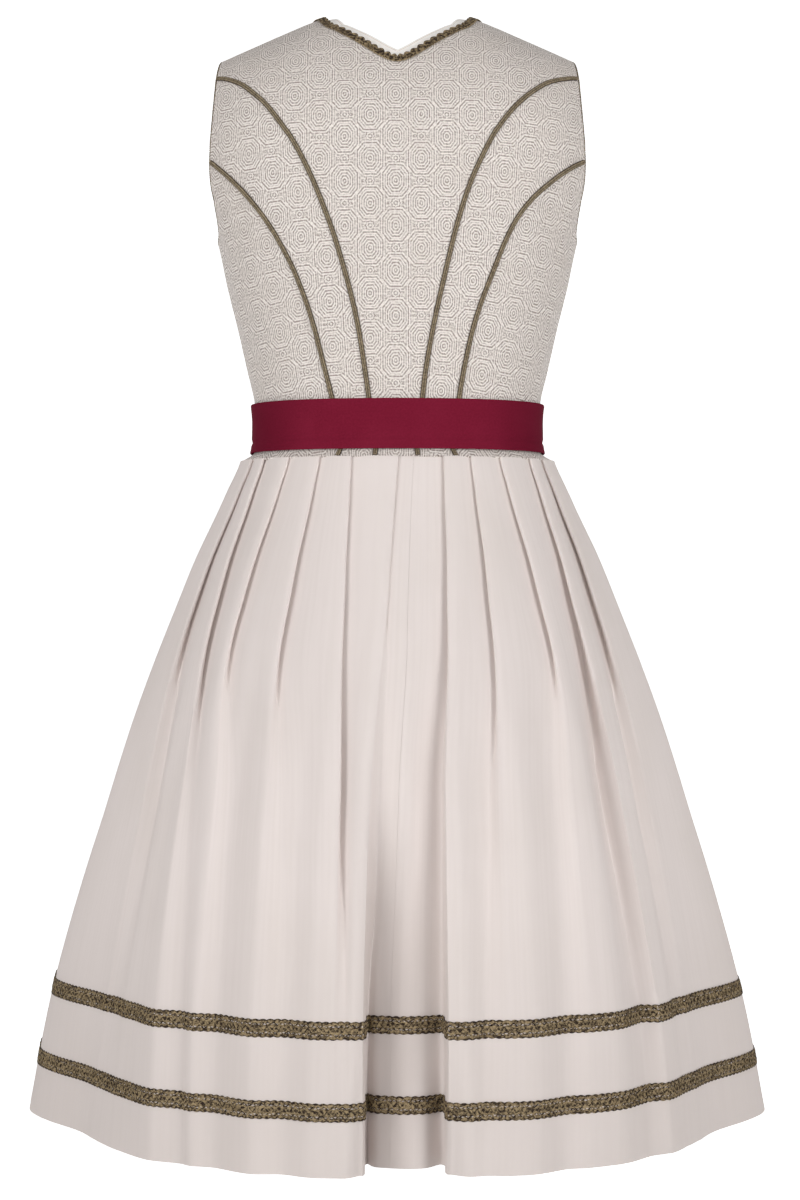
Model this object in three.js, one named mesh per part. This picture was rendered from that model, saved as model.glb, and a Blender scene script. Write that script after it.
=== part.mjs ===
// A sleeveless dirndl, filled out as if worn: brocade bodice, band belt, pleated cotton skirt.
// Millimetres, +Z up. The origin lies midway between the two neck points of the shoulders.
// The back of the dress faces -Y, its front faces +Y, and the wearer's right side is +X.
import * as THREE from 'three';

// Driving sizes
const bodiceThickness = 2;
const skirtThickness = 2.4;
const seamGap = 0.3;
const waistSeam = -442;
const hem = -1080;
const shoulderEnd = 173.5;
const underarm = -229;
const neckPoint = 84;
const pipingWidth = 3.8;
const pipingHeight = 1.5;
const pipingSetBack = 0.08;
const pipingDenseAbove = -330;
const armholeCordRadius = 1.3;
const neckLaceWidth = 9.5;
const neckLaceLift = 0.85;
const laceThickness = 1;
const neckEdgeUnderLace = 6.5;
const facingClearance = 0.7;
const facingThickness = 1;
const beltTop = -386;
const beltBottom = -434.5;
const beltThickness = 1.8;
const beltClearance = 0.8;
const beltOverBodice = seamGap + pipingHeight + beltClearance;
const lapStart = -36;
const lapEnd = 14;
const lapInset = 0.8;
const laceBandWidth = 16;
const upperLaceMiddle = -959;
const lowerLaceMiddle = -1027;

// The closed ring of the bodice at each height: half width, and reach to the back and the front
const torso = [
  { z: -442, half: 155.5, back: 102.5, front: 103.5 },
  { z: -438, half: 148.5, back: 98.5, front: 99.5 },
  { z: -434, half: 143, back: 95, front: 97 },
  { z: -420, half: 140.8, back: 93, front: 95 },
  { z: -405, half: 140.5, back: 92.5, front: 94.5 },
  { z: -385, half: 142.5, back: 93.5, front: 95.5 },
  { z: -350, half: 150.5, back: 97, front: 101 },
  { z: -310, half: 159.5, back: 101, front: 108 },
  { z: -270, half: 169.5, back: 105, front: 114 },
  { z: -230, half: 178, back: 107.5, front: 118 },
  { z: -212, half: 183, back: 108, front: 118 },
  { z: -190, half: 190, back: 108.5, front: 117 },
  { z: -170, half: 196, back: 108.5, front: 115 },
  { z: -150, half: 199, back: 108, front: 112 },
  { z: -130, half: 200, back: 107, front: 108 },
];
const torsoPower = 2.2;

// Above its dome start each side rolls over to the shoulder line, along an arc of this length
const back = { sign: -1, reach: 'back', domeStart: -130, domeLength: 150, domePower: 1.75 };
const front = { sign: 1, reach: 'front', domeStart: -170, domeLength: 190, domePower: 1.6 };
const shoulderSlope = 0.433;
const shoulderBend = { from: 75, softness: 6 };
const bust = { out: 17, acrossAt: 78, across: 48, height: -238, tall: 62 };

// Seams and edges of the bodice, as x at each height, from the waist up
const innerBackSeam = [
  { z: -442, left: 21.5, right: 19.5 },
  { z: -385, left: 27.4, right: 24 },
  { z: -355, left: 31.7, right: 27.8 },
  { z: -320, left: 37.2, right: 34 },
  { z: -280, left: 46.2, right: 42.6 },
  { z: -240, left: 57.6, right: 52 },
  { z: -205, left: 69.8, right: 61.5 },
  { z: -175, left: 82, right: 72 },
  { z: -150, left: 94, right: 83.5 },
  { z: -125, left: 109.5, right: 97.5 },
  { z: -100, left: 128, right: 117.5 },
  { z: -84, left: 144.5, right: 135.5 },
  { z: -72, left: 160, right: 155 },
  { z: -66, left: 178, right: 178 },
];
const outerBackSeam = [
  { z: -442, left: 57.8, right: 56.5 },
  { z: -385, left: 63, right: 59.3 },
  { z: -355, left: 70.5, right: 64.5 },
  { z: -325, left: 78, right: 71 },
  { z: -295, left: 87, right: 80 },
  { z: -265, left: 98.5, right: 91.5 },
  { z: -235, left: 113.5, right: 103.5 },
  { z: -210, left: 129, right: 116.5 },
  { z: -190, left: 144.5, right: 132.5 },
  { z: -175, left: 158, right: 149 },
  { z: -160, left: 173, right: 167.5 },
  { z: -150, left: 183.8, right: 183.8 },
];
const frontSeam = [
  { z: -442, left: 58, right: 58 },
  { z: -385, left: 63, right: 63 },
  { z: -330, left: 76, right: 76 },
  { z: -280, left: 87, right: 87 },
  { z: -240, left: 94, right: 94 },
  { z: -205, left: 108, right: 108 },
  { z: -175, left: 130, right: 130 },
  { z: -150, left: 157, right: 157 },
];
const backArmhole = [
  { z: -66, x: 178 },
  { z: -90, x: 179.5 },
  { z: -130, x: 183 },
  { z: -150, x: 183.8 },
  { z: -170, x: 183.2 },
  { z: -190, x: 179.8 },
  { z: -210, x: 177 },
  { z: -222, x: 176.8 },
];
const frontArmhole = [
  { z: -66, x: 168 },
  { z: -95, x: 162 },
  { z: -125, x: 158 },
  { z: -150, x: 157 },
  { z: -178, x: 160 },
  { z: -203, x: 167 },
  { z: -220, x: 173.5 },
];
// The outer edge of the neck lace, from the middle out to the shoulder line
const backNeck = [
  { x: 0, z: -61.7 },
  { x: 10, z: -59 },
  { x: 23, z: -51 },
  { x: 41, z: -37.5 },
  { x: 60, z: -24.5 },
  { x: 74, z: -14.5 },
];
const frontNeck = [
  { x: 0, z: -224 },
  { x: 18, z: -217 },
  { x: 40, z: -203 },
  { x: 64, z: -181 },
  { x: 82, z: -150 },
  { x: 90, z: -110 },
  { x: 91, z: -70 },
  { x: 88, z: -30 },
];
const facingRise = { middle: 20, shoulder: 26, fullness: 0.6 };

// How the rows of a panel are spread over its seams: close together where the waist flares
const flareRows = [-442, -438, -434, -420];
const seamShares = [0.09, 0.19, 0.3, 0.41, 0.52, 0.62, 0.71, 0.79, 0.86, 0.92, 0.96, 1];

// The outside of the skirt at each height, over the pleats' crests. Flat is how far the ring
// is drawn in between its sides and its middle, where the lower skirt hangs flatter.
const skirt = [
  { z: -442, half: 156, back: 103.5, front: 104.5, power: 2.2, flat: 0 },
  { z: -450, half: 159, back: 107, front: 107, power: 2.18, flat: 0 },
  { z: -470, half: 168.5, back: 114, front: 113, power: 2.14, flat: 0 },
  { z: -490, half: 177.5, back: 121, front: 119, power: 2.1, flat: 0 },
  { z: -540, half: 201, back: 143, front: 139, power: 2.04, flat: 0 },
  { z: -590, half: 221, back: 165, front: 160, power: 2, flat: 0 },
  { z: -640, half: 240.5, back: 186, front: 180, power: 2, flat: 2 },
  { z: -690, half: 258.5, back: 207, front: 199, power: 2, flat: 4.5 },
  { z: -740, half: 274.5, back: 226, front: 217, power: 2, flat: 7 },
  { z: -790, half: 289.5, back: 244, front: 233, power: 2, flat: 10 },
  { z: -840, half: 305, back: 261, front: 249, power: 1.98, flat: 12.5 },
  { z: -890, half: 319.5, back: 276, front: 263, power: 1.97, flat: 15 },
  { z: -940, half: 333, back: 291, front: 276, power: 1.96, flat: 17 },
  { z: -990, half: 345, back: 305, front: 289, power: 1.95, flat: 19 },
  { z: -1080, half: 362, back: 331, front: 311, power: 1.93, flat: 22 },
];

// The knife pleats. Bearing is in degrees round from the middle of the back, towards +X, and
// depth in millimetres, both at five heights; each pleat's crest lies on the side away from
// the middle of the back or the front, and its valley on the side towards it.
const skirtMiddle = -1.4;
const pleatHeights = [-442, -600, -760, -950, -1080];
const pleats = [
  { name: 'left 5', bearing: [-68, -61.9, -61.3, -58.5, -56.5], depth: [2.5, 9, 11, 10, 8] },
  { name: 'left 4', bearing: [-53, -51, -45.5, -41, -38.2], depth: [3.5, 9, 8, 7, 5] },
  { name: 'left 3', bearing: [-41, -42.8, -37.1, -33.5, -31], depth: [3.5, 7, 4, 3, 2.5] },
  { name: 'left 2', bearing: [-27, -28.3, -25.1, -22.9, -21.4], depth: [3.5, 8, 4, 3.5, 3] },
  { name: 'left 1', bearing: [-14.4, -12.8, -10.6, -10, -10], depth: [3.5, 6, 9, 5, 3] },
  { name: 'left of the box', bearing: [0.2, -3, -5, -5.8, -6], depth: [3, 4, 11, 36, 48] },
  { name: 'right of the box', bearing: [13.1, 11.2, 8.9, 8, 7.6], depth: [3.5, 8, 20, 36, 46] },
  { name: 'right 1', bearing: [23.8, 22.6, 19, 16.9, 15.5], depth: [3.5, 7, 5, 3, 2.5] },
  { name: 'right 2', bearing: [36.4, 39, 34.7, 31, 28.5], depth: [3.5, 8, 4.5, 3, 2.5] },
  { name: 'right 3', bearing: [51, 49.6, 46.1, 44.9, 43.9], depth: [3.5, 12, 14, 10, 7] },
  { name: 'right 4', bearing: [64, 62.8, 60.5, 57, 55], depth: [2.5, 8, 10, 13, 16] },
  { name: 'front right 5', bearing: [114, 116, 117, 119, 120], depth: [2.5, 8, 9, 8, 6] },
  { name: 'front right 4', bearing: [128, 131, 134, 137, 138.5], depth: [3.5, 10, 11, 8, 6] },
  { name: 'front right 3', bearing: [142, 144, 146, 149, 150.5], depth: [3.5, 8, 5, 4, 3] },
  { name: 'front right 2', bearing: [155, 156, 158, 160, 161], depth: [3.5, 7, 9, 8, 6] },
  { name: 'front right 1', bearing: [168, 168, 169.5, 171, 171.5], depth: [3.5, 7, 10, 14, 16] },
  { name: 'front left 1', bearing: [192, 192, 191, 190, 189.5], depth: [3.5, 7, 9, 13, 15] },
  { name: 'front left 2', bearing: [205, 203, 201.5, 200, 199], depth: [3.5, 8, 6, 4, 3] },
  { name: 'front left 3', bearing: [218, 217, 214, 211, 209.5], depth: [3.5, 7, 9, 7, 5] },
  { name: 'front left 4', bearing: [232, 229, 225, 222, 220], depth: [3.5, 10, 8, 5, 4] },
  { name: 'front left 5', bearing: [246, 244, 242, 240, 239], depth: [2.5, 8, 10, 8, 6] },
];
const flatBearing = 61;
const flatSpread = 12;
const pleatSteepness = 2.6;
const narrowestStep = 1.5;
const sharpestMitre = 0.35;
const pleatRoll = 1.6;
const columnSpacing = 6.4;
// Each skirt panel starts at a seam in the flat that follows this pleat, at this share of it
const skirtPanels = [
  { name: 'skirt_back_right', after: 'left of the box', share: 0.2 },
  { name: 'skirt_front_right', after: 'right 4', share: 0.5 },
  { name: 'skirt_front_left', after: 'front right 1', share: 0.5 },
  { name: 'skirt_back_left', after: 'front left 5', share: 0.5 },
];

const laceEdges = [upperLaceMiddle, lowerLaceMiddle].flatMap((middle) => [
  middle + laceBandWidth / 2,
  middle - laceBandWidth / 2,
]);
const skirtRows = [
  waistSeam, -451, -468, -495, -535, -590, -650, -715, -785, -850, -905, ...laceEdges, hem,
];

// Smooth values between the rows of a table, without overshooting them
function smoothTable(rows, key, valueOf) {
  const sorted = [...rows].sort((a, b) => a[key] - b[key]);
  const at = sorted.map((row) => row[key]);
  const values = sorted.map(valueOf);
  const last = at.length - 1;
  const slopes = at.slice(1).map((x, i) => (values[i + 1] - values[i]) / (x - at[i]));
  const tangents = at.map((_, i) => {
    if (i === 0) return slopes[0];
    if (i === last) return slopes[last - 1];
    const product = slopes[i - 1] * slopes[i];
    return product <= 0 ? 0 : (2 * product) / (slopes[i - 1] + slopes[i]);
  });
  return (x) => {
    const t = THREE.MathUtils.clamp(x, at[0], at[last]);
    let i = 0;
    while (i < last - 1 && t > at[i + 1]) i += 1;
    const width = at[i + 1] - at[i];
    const u = (t - at[i]) / width;
    const stay = values[i] * (1 + 2 * u) * (1 - u) ** 2 + values[i + 1] * u * u * (3 - 2 * u);
    return stay + tangents[i] * width * u * (1 - u) ** 2 - tangents[i + 1] * width * u * u * (1 - u);
  };
}

const torsoHalf = smoothTable(torso, 'z', (row) => row.half);
const torsoReach = {
  back: smoothTable(torso, 'z', (row) => row.back),
  front: smoothTable(torso, 'z', (row) => row.front),
};

function signedPower(value, exponent) {
  return Math.sign(value) * Math.abs(value) ** exponent;
}

function shoulderLine(x) {
  const { from, softness } = shoulderBend;
  return 1 - shoulderSlope * softness * Math.log1p(Math.exp((Math.abs(x) - from) / softness));
}

function bustOut(x, z, facing) {
  const across = ((Math.abs(x) - bust.acrossAt) / bust.across) ** 2;
  const height = ((z - bust.height) / bust.tall) ** 2;
  return bust.out * Math.exp(-across - height) * Math.min(1, facing * 2.2);
}

// A point of the torso. Turn is in degrees from the middle of that side to the side seam, and
// rise is the height up to the dome start and the length along the dome's arc above it.
function torsoPoint(side, { turn, rise }) {
  const z = Math.min(rise, side.domeStart);
  const sine = Math.sin(THREE.MathUtils.degToRad(turn));
  const cosine = Math.abs(Math.cos(THREE.MathUtils.degToRad(turn)));
  const x = torsoHalf(z) * signedPower(sine, 2 / torsoPower);
  let reach = torsoReach[side.reach](z) * cosine ** (2 / torsoPower);
  if (side === front) reach += bustOut(x, z, cosine);
  const share = THREE.MathUtils.clamp((rise - side.domeStart) / side.domeLength, 0, 1);
  const arc = (share * Math.PI) / 2;
  const climb = (shoulderLine(x) - side.domeStart) * Math.sin(arc) ** (2 / side.domePower);
  const y = side.sign * reach * Math.max(0, Math.cos(arc)) ** (2 / side.domePower);
  return new THREE.Vector3(x, share < 1 ? y : 0, z + climb);
}

// The place on the torso that has this x and height
function torsoPlace(side, x, z) {
  const level = Math.min(z, side.domeStart);
  const share = THREE.MathUtils.clamp(x / torsoHalf(level), -1, 1);
  const turn = THREE.MathUtils.radToDeg(Math.asin(signedPower(share, torsoPower / 2)));
  if (z <= side.domeStart) return { turn, rise: z };
  const climb = THREE.MathUtils.clamp((z - side.domeStart) / (shoulderLine(x) - side.domeStart), 0, 1);
  const arc = Math.asin(climb ** (side.domePower / 2));
  return { turn, rise: side.domeStart + (side.domeLength * arc * 2) / Math.PI };
}

function shoulderRise(side) {
  return side.domeStart + side.domeLength;
}

function shoulderPlace(side, x) {
  return { turn: torsoPlace(side, x, shoulderLine(x)).turn, rise: shoulderRise(side) };
}

// The cloth's slopes along turn and along rise, measured on the inner side of each border
function torsoSlopes(side, { turn, rise }) {
  const step = 0.05;
  const out = Math.abs(turn) > 89 ? -Math.sign(turn) * step : step;
  const up = rise > shoulderRise(side) - 1 ? -step : step;
  const here = torsoPoint(side, { turn, rise });
  const byTurn = torsoPoint(side, { turn: turn + out, rise }).sub(here).divideScalar(out);
  const byRise = torsoPoint(side, { turn, rise: rise + up }).sub(here).divideScalar(up);
  return { byTurn, byRise };
}

function torsoNormal(side, place) {
  const { byTurn, byRise } = torsoSlopes(side, place);
  return byTurn.cross(byRise).multiplyScalar(-side.sign).normalize();
}

function lifted(side, place, lift) {
  return torsoPoint(side, place).addScaledVector(torsoNormal(side, place), lift);
}

// The same, but level, which keeps the lower edge and the belt at their heights
function pushedOut(side, place, distance) {
  const level = torsoNormal(side, place).setZ(0).normalize();
  return torsoPoint(side, place).addScaledVector(level, distance);
}

// The place beside a path over the torso, at right angles to it and this far along the cloth
function beside(side, path, index, distance) {
  const { turn, rise } = path[index];
  const before = path[Math.max(index - 1, 0)];
  const after = path[Math.min(index + 1, path.length - 1)];
  const alongTurn = after.turn - before.turn;
  const alongRise = after.rise - before.rise;
  const { byTurn, byRise } = torsoSlopes(side, path[index]);
  const e = byTurn.dot(byTurn);
  const f = byTurn.dot(byRise);
  const g = byRise.dot(byRise);
  const acrossTurn = -g * alongRise - f * alongTurn;
  const acrossRise = f * alongRise + e * alongTurn;
  const squares = e * acrossTurn ** 2 + 2 * f * acrossTurn * acrossRise + g * acrossRise ** 2;
  const scale = distance / Math.sqrt(squares);
  return { turn: turn + acrossTurn * scale, rise: rise + acrossRise * scale };
}

// A closed body from its corners and triangles, with its faces turned outwards
function closedBody(name, corners, triangles, material) {
  let volume = 0;
  for (const [a, b, c] of triangles) {
    volume += corners[a].dot(corners[b].clone().cross(corners[c]));
  }
  const faces = volume < 0 ? triangles.map(([a, b, c]) => [a, c, b]) : triangles;
  const geometry = new THREE.BufferGeometry();
  geometry.setAttribute('position', new THREE.Float32BufferAttribute(
    corners.flatMap((corner) => corner.toArray()), 3));
  geometry.setIndex(faces.flat());
  geometry.computeVertexNormals();
  const mesh = new THREE.Mesh(geometry, material);
  mesh.name = name;
  return mesh;
}

// A cloth wall between an outer and an inner grid of points, closed along its edges
function wall(name, outer, inner, material, { ring = false, evenSplit = false } = {}) {
  const rows = outer.length;
  const columns = outer[0].length;
  const corners = [...outer.flat(), ...inner.flat()];
  const outside = (row, column) => row * columns + (column % columns);
  const inside = (row, column) => rows * columns + outside(row, column);
  const triangles = [];
  const quad = (a, b, c, d) => triangles.push([a, b, c], [a, c, d]);
  const spans = ring ? columns : columns - 1;
  for (let row = 0; row < rows - 1; row += 1) {
    for (let column = 0; column < spans; column += 1) {
      const lower = [row, column];
      const right = [row, column + 1];
      const across = [row + 1, column + 1];
      const upper = [row + 1, column];
      const rising = corners[outside(...lower)].distanceTo(corners[outside(...across)]);
      const falling = corners[outside(...right)].distanceTo(corners[outside(...upper)]);
      const order = evenSplit || rising < falling
        ? [lower, right, across, upper] : [right, across, upper, lower];
      quad(...order.map((corner) => outside(...corner)));
      const [a, b, c, d] = order.map((corner) => inside(...corner));
      triangles.push([a, c, b], [a, d, c]);
    }
    if (!ring) {
      const end = columns - 1;
      quad(outside(row, 0), outside(row + 1, 0), inside(row + 1, 0), inside(row, 0));
      quad(outside(row, end), inside(row, end), inside(row + 1, end), outside(row + 1, end));
    }
  }
  for (let column = 0; column < spans; column += 1) {
    const top = rows - 1;
    quad(outside(0, column), inside(0, column), inside(0, column + 1), outside(0, column + 1));
    quad(outside(top, column), outside(top, column + 1), inside(top, column + 1), inside(top, column));
  }
  return closedBody(name, corners, triangles, material);
}

// A closed wall from grids that share corners, with a rim along each edge that one face uses
function joinedWall(name, grids, material) {
  const corners = [];
  const known = new Map();
  const at = (outer, inner) => {
    if (!known.has(outer)) {
      known.set(outer, corners.length);
      corners.push(outer, inner);
    }
    return known.get(outer);
  };
  const faces = [];
  for (const { outer, inner } of grids) {
    for (let row = 0; row < outer.length - 1; row += 1) {
      for (let column = 0; column < outer[0].length - 1; column += 1) {
        const corner = (up, along) => (
          at(outer[row + up][column + along], inner[row + up][column + along]));
        const [a, b, c, d] = [corner(0, 0), corner(0, 1), corner(1, 1), corner(1, 0)];
        const rising = corners[a].distanceTo(corners[c]);
        if (rising < corners[b].distanceTo(corners[d])) faces.push([a, b, c], [a, c, d]);
        else faces.push([b, c, d], [b, d, a]);
      }
    }
  }
  const edges = new Set(faces.flatMap(([a, b, c]) => [`${a} ${b}`, `${b} ${c}`, `${c} ${a}`]));
  const triangles = faces.flatMap(([a, b, c]) => [[a, b, c], [a + 1, c + 1, b + 1]]);
  for (const edge of edges) {
    const [from, to] = edge.split(' ').map(Number);
    if (!edges.has(`${to} ${from}`)) triangles.push([to, from, from + 1], [to, from + 1, to + 1]);
  }
  return closedBody(name, corners, triangles, material);
}

// A cord or band through rings of points, closed on itself or ended flat
function sweep(name, rings, material, loop = false) {
  const size = rings[0].length;
  const count = rings.length;
  const corners = rings.flat();
  const at = (ring, point) => (ring % count) * size + (point % size);
  const triangles = [];
  for (let ring = 0; ring < (loop ? count : count - 1); ring += 1) {
    for (let point = 0; point < size; point += 1) {
      triangles.push([at(ring, point), at(ring + 1, point), at(ring + 1, point + 1)]);
      triangles.push([at(ring, point), at(ring + 1, point + 1), at(ring, point + 1)]);
    }
  }
  if (!loop) {
    for (let point = 1; point < size - 1; point += 1) {
      triangles.push([at(0, 0), at(0, point), at(0, point + 1)]);
      triangles.push([at(count - 1, 0), at(count - 1, point + 1), at(count - 1, point)]);
    }
  }
  return closedBody(name, corners, triangles, material);
}

// Draws the border of a wall in by half a seam's gap, square to the border and along the cloth.
// A kept column is one that isn't a seam.
function drawIn(outer, inner, keptColumn) {
  const rows = outer.length;
  const columns = outer[0].length;
  const shifts = [];
  const shiftFrom = (row, column, inRow, inColumn) => {
    const here = outer[row][column];
    const inward = outer[inRow][inColumn].clone().sub(here);
    const previous = inRow === row ? outer[Math.max(row - 1, 0)][column]
      : outer[row][Math.max(column - 1, 0)];
    const next = inRow === row ? outer[Math.min(row + 1, rows - 1)][column]
      : outer[row][Math.min(column + 1, columns - 1)];
    const along = next.clone().sub(previous).normalize();
    inward.addScaledVector(along, -inward.dot(along));
    shifts.push({ row, column, by: inward.setLength(seamGap / 2) });
  };
  for (let row = 0; row < rows; row += 1) {
    if (keptColumn !== 0) shiftFrom(row, 0, row, 1);
    if (keptColumn !== columns - 1) shiftFrom(row, columns - 1, row, columns - 2);
  }
  for (let column = 0; column < columns; column += 1) {
    shiftFrom(0, column, 1, column);
    shiftFrom(rows - 1, column, rows - 2, column);
  }
  for (const { row, column, by } of shifts) {
    outer[row][column].add(by);
    inner[row][column].add(by);
  }
}

// A seam's places from the waist up, as the rows of the panels that meet along it
function seamPlaces(side, hand, xAt, top) {
  const low = flareRows.at(-1);
  const rises = [...flareRows, ...seamShares.map((share) => low + share * (top.rise - low))];
  return rises.map((rise, i) => (i === rises.length - 1 ? top : { turn: hand * xAt(rise), rise }));
}

// The turn of a seam at each rise, from its table of x and height
function seamTurn(side, rows, key) {
  const places = rows.map((row) => torsoPlace(side, row[key], row.z));
  return smoothTable(places, 'rise', (place) => place.turn);
}

// Places along an edge, at even shares of a smooth curve through the edge's rows
function edgePlaces(places, count) {
  const curve = new THREE.SplineCurve(places.map(({ turn, rise }) => new THREE.Vector2(turn, rise)));
  return curve.getSpacedPoints(count).map((point) => ({ turn: point.x, rise: point.y }));
}

// A bodice panel between four edges of places, as a grid that blends them
function panelPlaces(left, right, bottom, top) {
  const rows = left.length - 1;
  const columns = bottom.length - 1;
  const blend = (key, row, column) => {
    const v = row / rows;
    const u = column / columns;
    const ruled = (1 - u) * left[row][key] + u * right[row][key]
      + (1 - v) * bottom[column][key] + v * top[column][key];
    const corners = (1 - v) * ((1 - u) * bottom[0][key] + u * bottom[columns][key])
      + v * ((1 - u) * top[0][key] + u * top[columns][key]);
    return ruled - corners;
  };
  return left.map((_, row) => bottom.map((__, column) => ({
    turn: blend('turn', row, column),
    rise: blend('rise', row, column),
  })));
}

function bodiceGrids(side, places, keptColumn) {
  const outer = places.map((row) => row.map((place) => torsoPoint(side, place)));
  const inner = places.map((row, i) => row.map((place) => (
    i < flareRows.length ? pushedOut(side, place, -bodiceThickness)
      : lifted(side, place, -bodiceThickness))));
  drawIn(outer, inner, keptColumn);
  return { outer, inner };
}

function bodicePanel(name, side, places) {
  const { outer, inner } = bodiceGrids(side, places);
  return wall(name, outer, inner, brocade);
}

function waistPlaces(from, to, columns) {
  return Array.from({ length: columns + 1 }, (_, i) => ({
    turn: from + ((to - from) * i) / columns,
    rise: waistSeam,
  }));
}

function mirrored(places) {
  return places.map(({ turn, rise }) => ({ turn: -turn, rise }));
}

function cloth(color, roughness) {
  return new THREE.MeshStandardMaterial({ color, roughness, metalness: 0 });
}

const brocade = cloth('#dfd7d1', 0.6);
const cotton = cloth('#dcd3ce', 0.85);
const oliveBraid = cloth('#5f5340', 0.8);
const oliveLace = cloth('#6b5f48', 0.85);
const creamTape = cloth('#f0e8e2', 0.8);
const burgundy = cloth('#6f182c', 0.75);

const dress = new THREE.Group();

// The two armholes, as places from the shoulder line down to the underarm
const columnsOf = { topBack: 2, middleBack: 3, sideBack: 5, sideFront: 5, frontTop: 5 };

function armholeEdge(side, rows, hand, from, to, count) {
  const places = rows.map((row) => torsoPlace(side, hand * row.x, row.z));
  const between = places.filter((place) => place.rise < from.rise - 4 && place.rise > to.rise + 4);
  return edgePlaces([from, ...between, to], count);
}

function buildHand(handName) {
  const hand = handName === 'right' ? 1 : -1;
  const seamTop = (side, rows) => torsoPlace(side, hand * rows.at(-1)[handName], rows.at(-1).z);
  const tops = {
    shoulderBack: shoulderPlace(back, hand * shoulderEnd),
    inner: seamTop(back, innerBackSeam),
    outer: seamTop(back, outerBackSeam),
    underarm: { turn: hand * 90, rise: underarm },
    princess: seamTop(front, frontSeam),
    shoulderFront: shoulderPlace(front, hand * shoulderEnd),
  };
  const seam = (side, rows, top) => {
    const turnAt = seamTurn(side, rows, handName);
    return seamPlaces(side, hand, turnAt, top);
  };
  const innerSeam = seam(back, innerBackSeam, tops.inner);
  const outerSeam = seam(back, outerBackSeam, tops.outer);
  const sideSeam = seamPlaces(back, hand, () => 90, tops.underarm);
  const princessSeam = seam(front, frontSeam, tops.princess);
  const edge = {
    top: armholeEdge(back, backArmhole, hand, tops.shoulderBack, tops.inner, columnsOf.topBack),
    middle: armholeEdge(back, backArmhole, hand, tops.inner, tops.outer, columnsOf.middleBack),
    side: armholeEdge(back, backArmhole, hand, tops.outer, tops.underarm, columnsOf.sideBack),
    frontTop: armholeEdge(front, frontArmhole, hand, tops.shoulderFront, tops.princess,
      columnsOf.frontTop),
    frontSide: armholeEdge(front, frontArmhole, hand, tops.princess, tops.underarm,
      columnsOf.sideFront),
  };
  return { hand, handName, innerSeam, outerSeam, sideSeam, princessSeam, edge };
}

const hands = { left: buildHand('left'), right: buildHand('right') };

// Neck edges: the outer edge of the lace, and the bodice's own edge under it
function neckPath(side, rows, count) {
  const places = rows.map((row) => torsoPlace(side, row.x, row.z));
  return edgePlaces([...places, shoulderPlace(side, neckPoint)], count);
}
const laceSteps = { back: 7, front: 16 };
const backNeckPath = neckPath(back, backNeck, laceSteps.back);
const frontNeckPath = neckPath(front, frontNeck, laceSteps.front);
const wholeBackNeck = [...mirrored(backNeckPath).reverse().slice(0, -1), ...backNeckPath];

// The bodice's own edge runs a little below the top of the lace
function neckEdge(side, path) {
  return path.map((_, i) => beside(side, path, i, neckEdgeUnderLace));
}
const backNeckEdge = neckEdge(back, wholeBackNeck);

// Half of a centre panel: up its middle line and along the neck, then over to the seam and the
// armhole. Centre rows reach the lowest point of the neck.
const centreRows = { back: 8, front: 9 };
const centreColumns = { back: 9, front: 6 };

function centreHalf(side, hand, neck, far) {
  const columns = centreColumns[side.reach];
  const low = flareRows.at(-1);
  const middleRises = [...flareRows];
  for (let i = 1; i <= centreRows[side.reach]; i += 1) {
    middleRises.push(low + ((neck[0].rise - low) * i) / centreRows[side.reach]);
  }
  const alongNeck = edgePlaces(neck, far.length - middleRises.length);
  const near = [
    ...middleRises.map((rise) => ({ turn: 0, rise })),
    ...alongNeck.slice(1).map(({ turn, rise }) => ({ turn: hand * turn, rise })),
  ];
  return near.map((from, row) => Array.from({ length: columns + 1 }, (_, i) => ({
    turn: from.turn + ((far[row].turn - from.turn) * i) / columns,
    rise: from.rise + ((far[row].rise - from.rise) * i) / columns,
  })));
}

// The neck edge of the right half, from the middle line to the shoulder line
function halfNeck(side, edge) {
  const neck = edge.map((place) => ({ ...place }));
  neck[0].turn = 0;
  neck.at(-1).rise = shoulderRise(side);
  return neck;
}

// The back centre panel is one piece: its halves share the middle line up to the neck
function backCentrePanel() {
  const neck = halfNeck(back, backNeckEdge.slice(laceSteps.back));
  const half = ({ hand, innerSeam, edge }) => (
    centreHalf(back, hand, neck, [...innerSeam, ...[...edge.top].reverse().slice(1)]));
  const leftPlaces = half(hands.left).map((row) => row.reverse());
  const left = bodiceGrids(back, leftPlaces, centreColumns.back);
  const right = bodiceGrids(back, half(hands.right), 0);
  for (let row = 0; row < flareRows.length + centreRows.back; row += 1) {
    right.outer[row][0] = left.outer[row].at(-1);
    right.inner[row][0] = left.inner[row].at(-1);
  }
  return joinedWall('back_center', [left, right], brocade);
}

function betweenSeams(name, side, near, far, top) {
  const bottom = waistPlaces(near[0].turn, far[0].turn, top.length - 1);
  return bodicePanel(name, side, panelPlaces(near, far, bottom, top));
}

function frontCentrePanel({ hand, handName, princessSeam, edge }) {
  const neck = halfNeck(front, neckEdge(front, frontNeckPath));
  const far = [...princessSeam, ...[...edge.frontTop].reverse().slice(1)];
  return bodicePanel(`front_center_${handName}`, front, centreHalf(front, hand, neck, far));
}

dress.add(backCentrePanel());
for (const made of Object.values(hands)) {
  const { handName, innerSeam, outerSeam, sideSeam, princessSeam, edge } = made;
  dress.add(betweenSeams(`back_middle_${handName}`, back, innerSeam, outerSeam, edge.middle));
  dress.add(betweenSeams(`back_side_${handName}`, back, outerSeam, sideSeam, edge.side));
  dress.add(betweenSeams(`front_side_${handName}`, front, princessSeam, sideSeam, edge.frontSide));
  dress.add(frontCentrePanel(made));
}

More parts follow.
